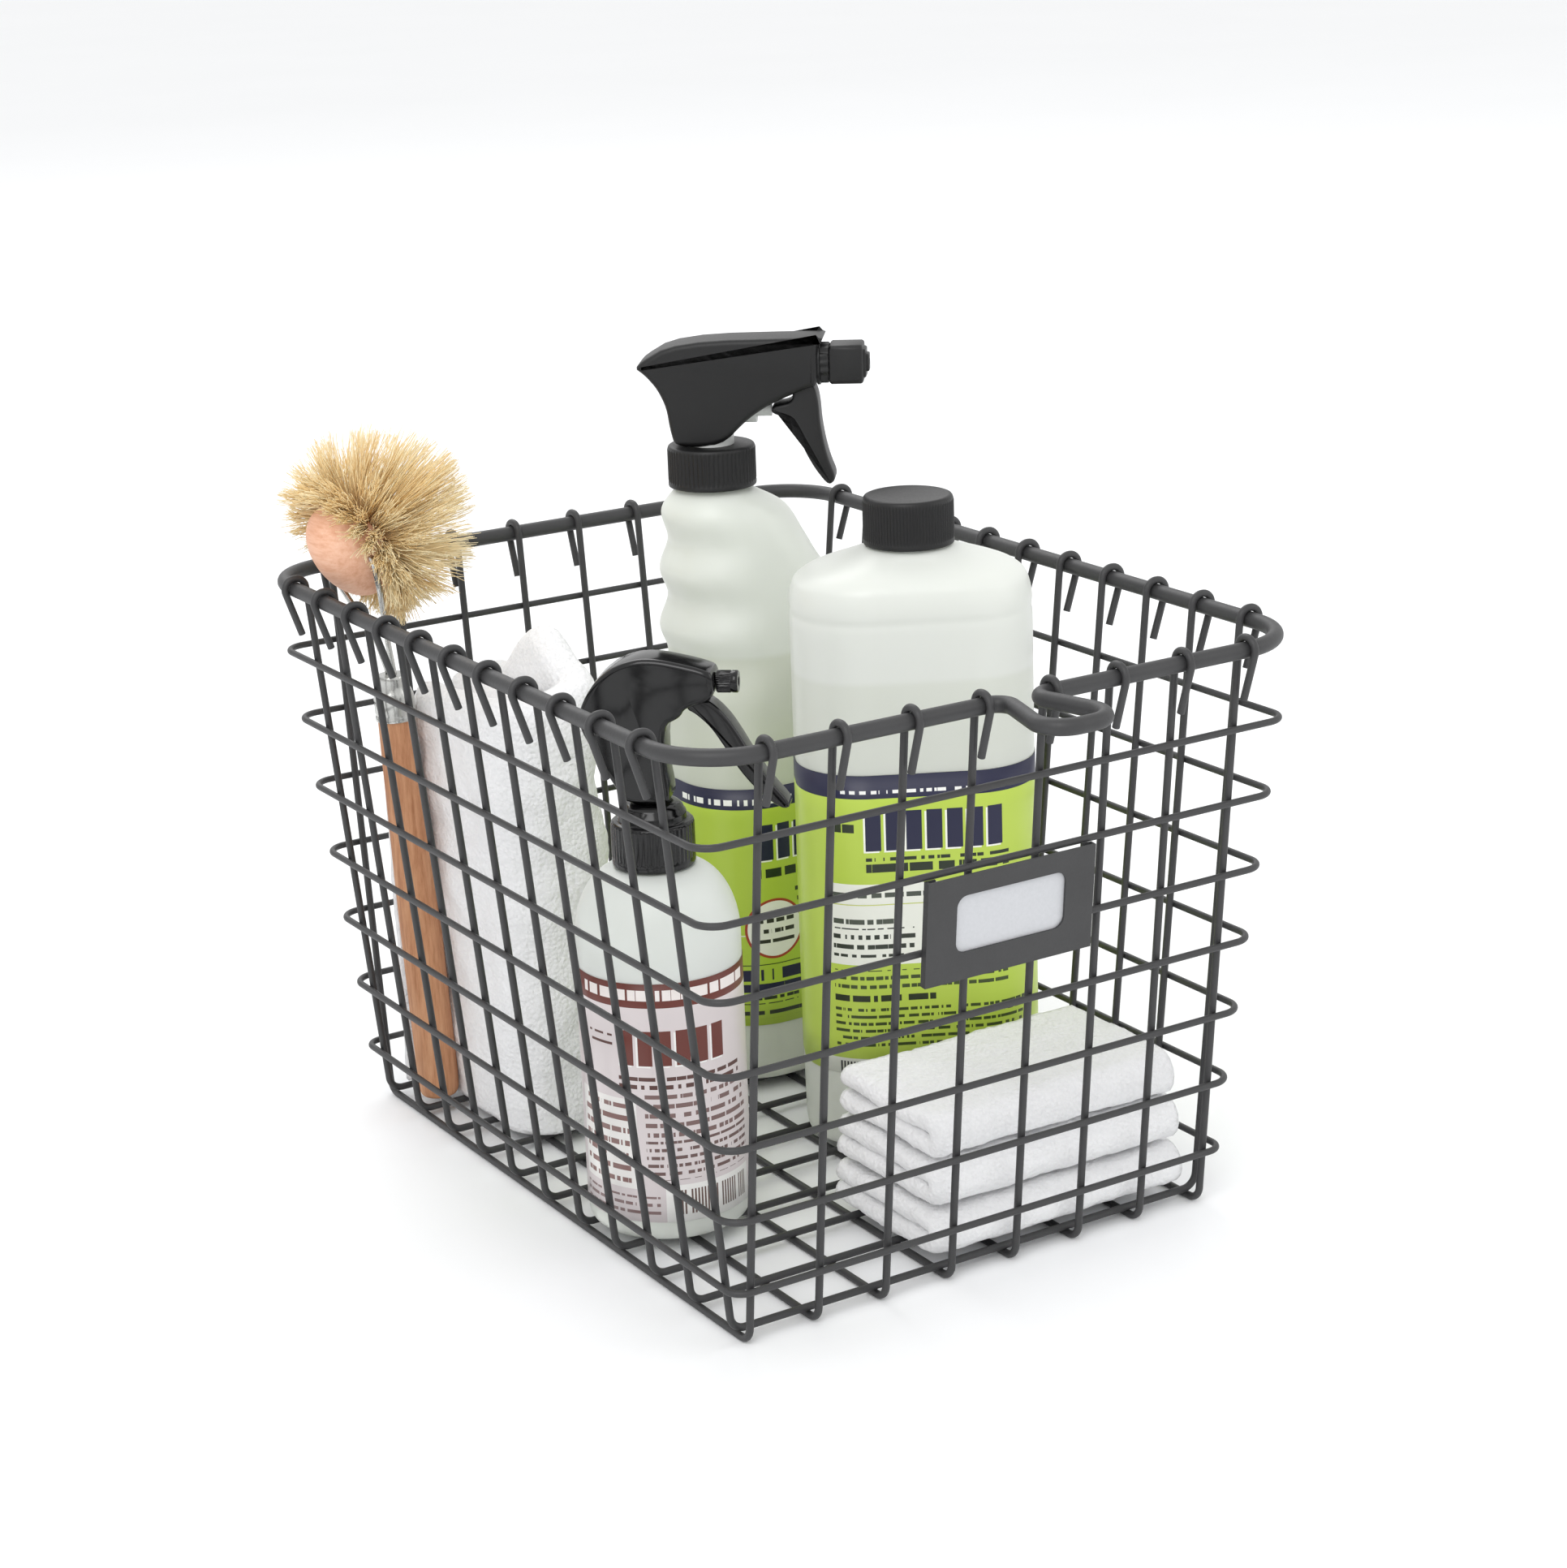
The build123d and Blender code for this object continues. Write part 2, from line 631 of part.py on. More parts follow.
head_frame = Pos(brush_head_x, 0, brush_head_z) * Rot(0, 90 - brush_face_angle, 0)
ferrule_z = brush_handle_len
wire_side = brush_head_r + brush_wire_d / 2 + 0.6
wire_foot = 0.35            # lifts the slanted wires' ends clear of the ferrule


def brush_handle():
    r = brush_handle_r
    outline = [
        (0, 0.4), (r - 3.0, 0.4), (r - 1.0, 1.4), (r - 0.2, 4.0), (r, 12.0), (r, 60.0), (r - 0.5, 120.0),
        (r - 1.0, ferrule_z), (0, ferrule_z),
    ]
    return turned(outline)


def ferrule():
    r = brush_handle_r
    sleeve = turned([
        (0, ferrule_z + 0.05), (r - 1.0, ferrule_z + 0.05), (r - 1.0, ferrule_z - 4.0), (r - 0.3, ferrule_z - 4.0),
        (r - 0.3, ferrule_z + 5.0), (r - 1.8, ferrule_z + 8.0), (r - 2.4, ferrule_z + ferrule_len),
        (0, ferrule_z + ferrule_len),
    ])
    collar_bore = Pos(0, 0, ferrule_z - 5.0) * Cylinder(r - 0.9, 5.0, align=(Align.CENTER, Align.CENTER, Align.MIN))
    return sleeve - collar_bore


def wire_neck():
    """Two bent wires from the ferrule to the pivot holes in the block's sides."""
    start = ferrule_z + ferrule_len + wire_foot
    wires = []
    for s in (-1, 1):
        path = FilletPolyline(
            (0, s * 2.6, start), (-2.0, s * 5.0, start + 12), (brush_head_x + 1.5, s * wire_side, brush_head_z - 13),
            (brush_head_x, s * wire_side, brush_head_z), (brush_head_x, s * (brush_head_r - 6.0), brush_head_z),
            radius=[9, 7, 2.4])
        wires.append(tube(path, brush_wire_d / 2))
    return wires[0] + wires[1]


def brush_block():
    r, back, front = brush_head_r, brush_head_back, brush_head_front
    outline = [(0, -back), (6.0, -back + 0.8), (11.0, -back + 3.0), (15.0, -back + 6.4), (r - 0.8, -2.6), (r, 1.0),
               (r, front - 1.0), (r - 1.0, front), (0, front)]
    block = turned(outline)
    return block - Rot(90, 0, 0) * Cylinder(brush_wire_d / 2 + 0.15, 3 * r)


def bristles():
    ball = Pos(0, 0, bristle_out) * Sphere(bristle_r)
    return ball - box(-beyond, beyond, -beyond, beyond, -beyond, brush_head_front + bristle_gap)


NODES["brush_handle"] = in_brush(brush_handle())
NODES["brush_ferrule"] = in_brush(ferrule())
NODES["brush_wire_neck"] = in_brush(wire_neck())
NODES["brush_block"] = in_brush(head_frame * brush_block())
NODES["brush_bristles"] = in_brush(head_frame * bristles())

# ---- towel and cloths ----

bend_clear = floor_bend_r - mesh_r      # beside the mesh, the floor wires have begun to rise this far in
towel_side = bend_clear - inner_x
towel_left = brush_at[0] + brush_handle_r + towel_gap
towel_right = towel_left + towel_width
towel_front = brush_at[1] - towel_depth


def slab(x0, x1, y0, y1, top, corner):
    """One upright fold of the towel, rounded at its corners and its top."""
    base = Pos((x0 + x1) / 2, (y0 + y1) / 2, base_z) * RectangleRounded(x1 - x0, y1 - y0, corner)
    body = extrude(base, amount=top)
    return fillet(body.edges().group_by(Axis.Z)[-1], corner - 1.0)


def towel():
    """A folded towel stood on end: a main fold, a peak at its right and a flap behind the brush."""
    main_fold = slab(towel_left, towel_right, towel_front, towel_back, towel_low_height, 9.0)
    peak_front = towel_front + 16.0
    peak = slab(towel_right - towel_peak_width, towel_right - 1.0, peak_front, peak_front + 42.0, towel_height, 7.0)
    flap = slab(towel_side, towel_left + 12.0, towel_behind, towel_back - flap_in, towel_flap_height, 3.4)
    return main_fold + peak + flap


def cloth(level):
    shape = RectangleRounded(cloth_length - 2.0 * level, cloth_depth - 1.5 * level, 6.0)
    body = extrude(shape, amount=cloth_thick)
    body = fillet(body.edges().group_by(Axis.Z)[-1], cloth_r - 2.0)
    return Pos(cloth_at[0], cloth_at[1], base_z + level * (cloth_thick + cloth_gap)) * body


NODES["towel"] = towel()
for i in range(3):
    NODES[f"cloth_{i + 1}"] = cloth(i)

os.makedirs("parts", exist_ok=True)
for name, shape in NODES.items():
    shape.label = name
    export_step(shape, f"parts/{name}.step")
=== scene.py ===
import bpy
import math
import random
import numpy as np
from mathutils import Matrix, Vector, noise


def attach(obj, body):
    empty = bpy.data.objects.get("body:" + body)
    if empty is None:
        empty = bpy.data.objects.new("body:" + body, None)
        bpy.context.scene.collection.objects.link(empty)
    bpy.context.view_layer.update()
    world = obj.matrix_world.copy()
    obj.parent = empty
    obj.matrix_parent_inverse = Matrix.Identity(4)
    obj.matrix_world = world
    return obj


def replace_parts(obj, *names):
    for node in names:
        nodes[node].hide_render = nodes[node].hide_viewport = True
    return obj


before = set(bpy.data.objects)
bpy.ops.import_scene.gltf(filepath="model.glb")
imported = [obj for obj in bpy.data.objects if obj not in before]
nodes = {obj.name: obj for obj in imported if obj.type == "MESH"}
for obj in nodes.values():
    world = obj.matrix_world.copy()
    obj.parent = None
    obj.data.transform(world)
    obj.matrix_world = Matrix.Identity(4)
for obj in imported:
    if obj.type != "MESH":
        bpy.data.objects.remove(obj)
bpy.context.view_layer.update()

mm = 0.001
print("frame loaded,", len(nodes), "CAD nodes")


# helpers: colour, nodes, meshes

def linear(hexColour):
    # sRGB hex to the linear colour that shader sockets take
    parts = [int(hexColour[i:i + 2], 16) / 255 for i in (1, 3, 5)]
    return tuple(c / 12.92 if c <= 0.04045 else ((c + 0.055) / 1.055) ** 2.4 for c in parts) + (1.0,)


def addNode(tree, kind, settings=None, inputs=None):
    node = tree.nodes.new(kind)
    for key, value in (settings or {}).items():
        setattr(node, key, value)
    for key, value in (inputs or {}).items():
        if isinstance(value, bpy.types.NodeSocket):
            tree.links.new(value, node.inputs[key])
        else:
            node.inputs[key].default_value = value
    return node


def newMaterial(name, **constants):
    # a material with its Principled node, and constants set on its sockets
    material = bpy.data.materials.new(name)
    material.use_nodes = True
    tree = material.node_tree
    shader = tree.nodes["Principled BSDF"]
    for key, value in constants.items():
        shader.inputs[key.replace("_", " ")].default_value = value
    return material, tree, shader


def blendColours(tree, factor, first, second, mode="MIX"):
    settings = {"data_type": "RGBA", "blend_type": mode}
    return addNode(tree, "ShaderNodeMix", settings, {0: factor, 6: first, 7: second}).outputs[2]


def noiseAt(tree, vector, scale, detail=3.0, rough=0.55):
    inputs = {"Vector": vector, "Scale": scale, "Detail": detail, "Roughness": rough}
    return addNode(tree, "ShaderNodeTexNoise", None, inputs).outputs["Fac"]


def maths(tree, operation, first, second=0.0):
    return addNode(tree, "ShaderNodeMath", {"operation": operation}, {0: first, 1: second}).outputs[0]


def stretched(tree, factor, low, high):
    # maps 0..1 to low..high
    inputs = {"Value": factor, "To Min": low, "To Max": high}
    return addNode(tree, "ShaderNodeMapRange", None, inputs).outputs[0]


def bumped(tree, shader, height, distance, strength=1.0):
    inputs = {"Height": height, "Distance": distance, "Strength": strength}
    tree.links.new(addNode(tree, "ShaderNodeBump", None, inputs).outputs[0], shader.inputs["Normal"])


def framePoint(tree):
    return addNode(tree, "ShaderNodeTexCoord").outputs["Object"]


def turnedAbout(points, at, degrees):
    # local millimetres to the caddy's frame in metres: turned about Z, then moved
    points = np.asarray(points, float).reshape(-1, 3)
    c, s = math.cos(math.radians(degrees)), math.sin(math.radians(degrees))
    x = points[:, 0] * c - points[:, 1] * s + at[0]
    y = points[:, 0] * s + points[:, 1] * c + at[1]
    return np.stack([x, y, points[:, 2] + at[2]], -1) * mm


def makePiece(name, points, faces, material, body, smooth=True, uvs=None):
    mesh = bpy.data.meshes.new(name)
    mesh.from_pydata([tuple(p) for p in points], [], faces)
    if smooth:
        mesh.shade_smooth()
    if uvs is not None:  # one (u, v) for each point
        layer = mesh.uv_layers.new(name="print")
        index = np.zeros(len(mesh.loops), int)
        mesh.loops.foreach_get("vertex_index", index)
        layer.data.foreach_set("uv", np.asarray(uvs, np.float32)[index].ravel())
    mesh.materials.append(material)
    mesh.update()
    piece = bpy.data.objects.new(name, mesh)
    bpy.context.scene.collection.objects.link(piece)
    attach(piece, body)
    return piece


def gridFaces(rows, columns, closed=True, start=0):
    # quads between successive rows of points
    faces = []
    for r in range(rows - 1):
        for c in range(columns if closed else columns - 1):
            a, b = start + r * columns + c, start + r * columns + (c + 1) % columns
            faces.append((a, b, b + columns, a + columns))
    return faces


def skinFaces(rows, columns):
    # a closed skin: quads between the rows and a cap at each end
    faces = gridFaces(rows, columns)
    faces.append(tuple(reversed(range(columns))))
    last = (rows - 1) * columns
    faces.append(tuple(range(last, last + columns)))
    return faces


def lathe(outline, segments, ribs=0, ribDepth=0.0, ribbed=None):
    # points and faces turned about Z from (radius, height) rows. Rows in ribbed carry the ribs
    angles = np.arange(segments) * 2 * math.pi / segments
    wave = 0.5 + 0.5 * np.cos(angles * ribs) if ribs else np.zeros(segments)
    points = []
    for i, (radius, height) in enumerate(outline):
        depth = ribDepth if ribbed is not None and i in ribbed else 0.0
        r = max(radius, 0.01) - depth * (1 - wave)
        points += list(zip(r * np.cos(angles), r * np.sin(angles), np.full(segments, height)))
    return points, skinFaces(len(outline), segments)


def smoothRows(heights, values, at):
    # monotone cubic through rows, so that a swell stays where its row is
    h, v = np.asarray(heights, float), np.asarray(values, float)
    step = np.diff(h)
    slope = np.diff(v) / step
    tangent = np.zeros(len(h))
    for i in range(1, len(h) - 1):
        if slope[i - 1] * slope[i] > 0:
            a, b = 2 * step[i] + step[i - 1], step[i] + 2 * step[i - 1]
            tangent[i] = (a + b) / (a / slope[i - 1] + b / slope[i])
    tangent[0], tangent[-1] = slope[0], slope[-1]
    k = np.clip(np.searchsorted(h, at, side="right") - 1, 0, len(h) - 2)
    t = (at - h[k]) / step[k]
    p = (2 * t ** 3 - 3 * t ** 2 + 1) * v[k] + (t ** 3 - 2 * t ** 2 + t) * step[k] * tangent[k]
    return p + (3 * t ** 2 - 2 * t ** 3) * v[k + 1] + (t ** 3 - t ** 2) * step[k] * tangent[k + 1]


def ovalRing(left, right, depth, roundness, count, grow=0.0):
    # a level oval section from the middle of its front, and the distance round it
    half, middle = (left + right) / 2, (right - left) / 2
    corner = roundness * min(half, depth)
    flat, side = half - corner, depth - corner
    corner += grow
    arc = corner * math.pi / 2
    stops = np.cumsum([0, flat, arc, 2 * side, arc, 2 * flat, arc, 2 * side, arc, flat])
    centres = {1: (flat, -side, -90), 3: (flat, side, 0), 5: (-flat, side, 90), 7: (-flat, -side, 180)}
    points = []
    for s in np.arange(count) * stops[-1] / count:
        k = int(np.searchsorted(stops, s, side="right")) - 1
        t = s - stops[k]
        if k in centres:
            cx, cy, first = centres[k]
            a = math.radians(first) + t / corner
            points.append((cx + corner * math.cos(a), cy + corner * math.sin(a)))
        elif k in (0, 8):
            points.append((t if k == 0 else t - flat, -depth - grow))
        elif k == 2:
            points.append((half + grow, t - side))
        elif k == 4:
            points.append((flat - t, depth + grow))
        else:
            points.append((-half - grow, side - t))
    return np.array(points) + (middle, 0), stops[-1]


def loftRings(rings, heights):
    # points and faces of a closed skin over level rings
    points = [(x, y, z) for ring, z in zip(rings, heights) for x, y in ring]
    return points, skinFaces(len(rings), len(rings[0]))


def easedLoop(outline, rounds=2):
    # cuts the corners of a closed outline so that it reads as a moulded curve
    loop = [Vector(p) for p in outline]
    for _ in range(rounds):
        loop = [q for a, b in zip(loop, loop[1:] + loop[:1]) for q in (a.lerp(b, 0.22), a.lerp(b, 0.78))]
    return loop


def roundedPlate(outline, width, edge, steps=4, rounds=2):
    # an upright plate in the X-Z plane with rounded edges, centred on it
    loop = easedLoop(outline, rounds)
    count = len(loop)
    area = sum(a.x * b.y - b.x * a.y for a, b in zip(loop, loop[1:] + loop[:1]))
    turn = 1 if area > 0 else -1
    inward = []
    for i in range(count):
        along = (loop[(i + 1) % count] - loop[i - 1]).normalized()
        inward.append(Vector((-along.y, along.x)) * turn)
    levels = []
    for k in range(steps + 1):
        a = math.pi / 2 * k / steps
        levels.append((edge * (1 - math.sin(a)), -width / 2 + edge * (1 - math.cos(a))))
    levels += [(inset, -y) for inset, y in reversed(levels)]
    points = [(p.x + n.x * inset, y, p.y + n.y * inset) for inset, y in levels for p, n in zip(loop, inward)]
    faces = skinFaces(len(levels), count)
    if turn > 0:
        faces = [tuple(reversed(f)) for f in faces]
    return points, faces


def cutAway(piece, low, high, at, degrees):
    # takes a box, given in local millimetres, out of a piece
    corners = [(x, y, z) for z in (low[2], high[2]) for y in (low[1], high[1]) for x in (low[0], high[0])]
    mesh = bpy.data.meshes.new("cutter")
    faces = [(0, 2, 3, 1), (4, 5, 7, 6), (0, 1, 5, 4), (1, 3, 7, 5), (3, 2, 6, 7), (2, 0, 4, 6)]
    mesh.from_pydata([tuple(p) for p in turnedAbout(corners, at, degrees)], [], faces)
    cutter = bpy.data.objects.new("cutter", mesh)
    bpy.context.scene.collection.objects.link(cutter)
    tool = piece.modifiers.new("cut", "BOOLEAN")
    tool.operation, tool.solver, tool.object = "DIFFERENCE", "MANIFOLD", cutter
    bpy.context.view_layer.update()
    seen = piece.evaluated_get(bpy.context.evaluated_depsgraph_get())
    piece.data = bpy.data.meshes.new_from_object(seen)
    piece.modifiers.clear()
    bpy.data.objects.remove(cutter)
    return piece


def creased(piece, angle=35):
    # sharp edges stay sharp under smooth shading
    piece.data.set_sharp_from_angle(angle=math.radians(angle))
    return piece


def roundedPath(corners, radii, step):
    # evenly spaced points along straight runs joined by arcs, in a plane
    points = [Vector(c) for c in corners]
    line = [points[0]]
    for i in range(1, len(points) - 1):
        a, b, c = points[i - 1], points[i], points[i + 1]
        u, v = (a - b).normalized(), (c - b).normalized()
        half = u.angle(v) / 2
        reach = radii[i - 1] / math.tan(half)
        centre = b + (u + v).normalized() * (radii[i - 1] / math.sin(half))
        start, end = b + u * reach - centre, b + v * reach - centre
        turn = math.pi - 2 * half
        if u.x * v.y - u.y * v.x > 0:
            turn = -turn
        for k in range(9):
            a1 = turn * k / 8
            line.append(centre + Vector((start.x * math.cos(a1) - start.y * math.sin(a1),
                                         start.x * math.sin(a1) + start.y * math.cos(a1))))
    line.append(points[-1])
    at = np.array([tuple(p) for p in line])
    run = np.concatenate([[0], np.cumsum(np.linalg.norm(np.diff(at, axis=0), axis=1))])
    even = np.linspace(0, run[-1], int(run[-1] / step) + 1)
    return np.stack([np.interp(even, run, at[:, 0]), np.interp(even, run, at[:, 1])], -1), run[-1]


print("helpers ready")

# materials

# powder coat: charcoal, a fine orange-peel grain that breaks up its soft highlight
wireLook = {"colour": "#3a3a3b", "dark": "#303031", "grainMm": 0.9, "grainDepth": 0.00006}


def powderCoat(name):
    coat, tree, shader = newMaterial(name, Roughness=0.48, IOR=1.5)
    where = framePoint(tree)
    cloud = noiseAt(tree, where, 90.0, 4.0)
    colour = blendColours(tree, cloud, linear(wireLook["dark"]), linear(wireLook["colour"]))
    tree.links.new(colour, shader.inputs["Base Color"])
    grain = noiseAt(tree, where, 1000.0 / wireLook["grainMm"], 2.0)
    tree.links.new(stretched(tree, grain, 0.4, 0.58), shader.inputs["Roughness"])
    bumped(tree, shader, grain, wireLook["grainDepth"], 0.6)
    return coat


powderCoatSteel = powderCoat("powder_coated_steel_wire_fine_texture")
powderCoatSheet = powderCoat("powder_coated_steel_sheet_fine_texture")


def cardMaterial():
    # uncoated card: pale grey fibres that only show as a faint mottle
    card, tree, shader = newMaterial("uncoated_card_fibrous", Roughness=0.85, IOR=1.5)
    fibre = noiseAt(tree, framePoint(tree), 900.0, 5.0)
    tree.links.new(blendColours(tree, fibre, linear("#bdbfc2"), linear("#cbccd0")), shader.inputs["Base Color"])
    bumped(tree, shader, fibre, 0.00003)
    return card


def milkyPlastic(name, fillHeight, filledTones, above):
    # blown HDPE: light goes a little way in, so the bottle glows softly, and the fluid's top shows faintly
    plastic, tree, shader = newMaterial(name, Roughness=0.36, IOR=1.54, Subsurface_Weight=0.35,
                                        Subsurface_Scale=0.012)
    shader.inputs["Subsurface Radius"].default_value = (1.0, 1.0, 0.92)
    where = framePoint(tree)
    height = addNode(tree, "ShaderNodeSeparateXYZ", None, {0: where}).outputs["Z"]
    lineBlur = 1.5 * mm
    filled = addNode(tree, "ShaderNodeMapRange", {"interpolation_type": "SMOOTHSTEP"},
                     {"Value": height, "From Min": fillHeight - lineBlur, "From Max": fillHeight + lineBlur})
    cloud = noiseAt(tree, where, 14.0, 2.0)
    tone = blendColours(tree, cloud, linear(filledTones[0]), linear(filledTones[1]))
    colour = blendColours(tree, filled.outputs[0], tone, linear(above))
    tree.links.new(colour, shader.inputs["Base Color"])
    ripple = noiseAt(tree, where, 60.0, 2.0)
    tree.links.new(stretched(tree, ripple, 0.3, 0.44), shader.inputs["Roughness"])
    bumped(tree, shader, ripple, 0.0002, 0.35)
    return plastic


def fluidMaterial(name, first, second):
    # cloudy fluid: hardly seen through the wall
    fluid, tree, shader = newMaterial(name, Roughness=0.1, IOR=1.34)
    cloud = noiseAt(tree, framePoint(tree), 25.0, 3.0)
    tree.links.new(blendColours(tree, cloud, linear(first), linear(second)), shader.inputs["Base Color"])
    return fluid


def mouldedPlastic(name, dark, light, low, high, grainMm, depth):
    # moulded polypropylene: black with a fine spark-eroded grain, or polished where low and high are small
    plastic, tree, shader = newMaterial(name, IOR=1.49)
    where = framePoint(tree)
    cloud = noiseAt(tree, where, 120.0, 3.0)
    tree.links.new(blendColours(tree, cloud, linear(dark), linear(light)), shader.inputs["Base Color"])
    grain = noiseAt(tree, where, 1000.0 / grainMm, 2.0)
    tree.links.new(stretched(tree, grain, low, high), shader.inputs["Roughness"])
    bumped(tree, shader, grain, depth, 0.5)
    return plastic


blackSatin = mouldedPlastic("black_polypropylene_satin_grain", "#070708", "#0c0c0d", 0.4, 0.54, 0.8, 0.00004)
blackGloss = mouldedPlastic("black_polypropylene_polished", "#030304", "#060607", 0.1, 0.2, 3.0, 0.00002)
naturalPlastic = mouldedPlastic("natural_polypropylene_translucent", "#c9ccca", "#dcdedb", 0.3, 0.42, 1.5,
                                0.00003)


def woodMaterial(name, grainAxis, tones):
    # oiled beech: pinkish, with short dark flecks drawn out along the grain
    wood, tree, shader = newMaterial(name, Roughness=0.6, IOR=1.5)
    scale = [420.0, 420.0, 420.0]
    scale[grainAxis] = 38.0
    longWay = addNode(tree, "ShaderNodeMapping", None, {"Vector": framePoint(tree), "Scale": scale}).outputs[0]
    fleck = noiseAt(tree, longWay, 1.0, 5.0, 0.7)
    sharper = addNode(tree, "ShaderNodeValToRGB", None, {0: fleck})
    ramp = sharper.color_ramp
    ramp.elements[0].position, ramp.elements[0].color = 0.32, linear(tones[0])
    ramp.elements[1].position, ramp.elements[1].color = 0.72, linear(tones[2])
    middle = ramp.elements.new(0.52)
    middle.color = linear(tones[1])
    tree.links.new(sharper.outputs["Color"], shader.inputs["Base Color"])
    tree.links.new(stretched(tree, fleck, 0.5, 0.72), shader.inputs["Roughness"])
    bumped(tree, shader, fleck, 0.00015, 0.6)
    return wood


def steelMaterial():
    # tinned steel: bright, drawn lines along the wire soften what it mirrors
    steel, tree, shader = newMaterial("tinned_steel_bright_drawn", Metallic=1.0)
    alongWire = {"Vector": framePoint(tree), "Scale": (900.0, 900.0, 60.0)}
    where = addNode(tree, "ShaderNodeMapping", None, alongWire)
    drawn = noiseAt(tree, where.outputs[0], 1.0, 3.0)
    tree.links.new(blendColours(tree, drawn, linear("#a8a9a6"), linear("#d6d6d2")), shader.inputs["Base Color"])
    tree.links.new(stretched(tree, drawn, 0.14, 0.34), shader.inputs["Roughness"])
    bumped(tree, shader, drawn, 0.00002, 0.5)
    return steel


def fibreMaterial():
    # tampico fibre: straw gold, each strand its own tone, with painted shade darkening it towards the root
    fibre, tree, shader = newMaterial("tampico_fibre_golden", Roughness=0.55, IOR=1.5, Sheen_Weight=0.15)
    strand = addNode(tree, "ShaderNodeUVMap", {"uv_map": "print"}).outputs[0]
    parts = addNode(tree, "ShaderNodeSeparateXYZ", None, {0: strand})
    tone = blendColours(tree, parts.outputs["X"], linear("#ecc47c"), linear("#fff0c6"))
    # painted shade: the deeper gold near the root stands in for the shade inside the tuft
    shadedRoot = {"Value": parts.outputs["Y"], "From Min": 0.0, "From Max": 0.55, "To Min": 0.7, "To Max": 0.0}
    root = addNode(tree, "ShaderNodeMapRange", None, shadedRoot)
    tone = blendColours(tree, root.outputs[0], tone, linear("#d9a552"))
    speck = noiseAt(tree, framePoint(tree), 600.0, 2.0)
    colour = blendColours(tree, stretched(tree, speck, 0.0, 0.25), tone, linear("#fff2cc"))
    tree.links.new(colour, shader.inputs["Base Color"])
    tree.links.new(stretched(tree, speck, 0.45, 0.65), shader.inputs["Roughness"])
    return fibre


def terryMaterial():
    # white terry: looped pile, drawn at 1.6 mm because the real 1 mm loops would only shimmer
    terry, tree, shader = newMaterial("white_cotton_terry_looped_pile", Roughness=0.95, Sheen_Weight=0.35)
    shader.inputs["Sheen Roughness"].default_value = 0.5
    where = framePoint(tree)
    loopsPerMetre = 620.0
    cells = addNode(tree, "ShaderNodeTexVoronoi", None, {"Vector": where, "Scale": loopsPerMetre})
    loops = cells.outputs["Distance"]
    pile = noiseAt(tree, where, 380.0, 4.0, 0.65)
    height = maths(tree, "SUBTRACT", pile, maths(tree, "MULTIPLY", loops, 0.6))
    soft = noiseAt(tree, where, 60.0, 3.0)
    tone = blendColours(tree, soft, linear("#f3f3f4"), linear("#fbfbfc"))
    # painted shade: the colour greys towards the edge of each loop cell, in the hollows between the loops
    colour = blendColours(tree, stretched(tree, loops, 0.0, 0.28), tone, linear("#e4e5e7"))
    tree.links.new(colour, shader.inputs["Base Color"])
    tree.links.new(stretched(tree, pile, 0.85, 1.0), shader.inputs["Roughness"])
    bumped(tree, shader, height, 0.0011, 0.75)
    return terry


whiteTerry = terryMaterial()
steel = steelMaterial()
print("materials ready")


def within(tree, value, low, high):
    # 1 where a value in metres lies between two in millimetres
    away = maths(tree, "ABSOLUTE", maths(tree, "SUBTRACT", value, (low + high) / 2 * mm))
    return maths(tree, "LESS_THAN", away, (high - low) / 2 * mm)


def discMask(tree, u, v, u0, u1, v0, v1, ringWidth=None):
    du = maths(tree, "SUBTRACT", u, (u0 + u1) / 2 * mm)
    dv = maths(tree, "SUBTRACT", v, (v0 + v1) / 2 * mm)
    squares = maths(tree, "ADD", maths(tree, "MULTIPLY", du, du), maths(tree, "MULTIPLY", dv, dv))
    away, radius = maths(tree, "SQRT", squares), (u1 - u0) / 2
    mask = maths(tree, "LESS_THAN", away, radius * mm)
    if ringWidth is None:
        return mask
    return maths(tree, "MULTIPLY", mask, maths(tree, "GREATER_THAN", away, (radius - ringWidth) * mm))


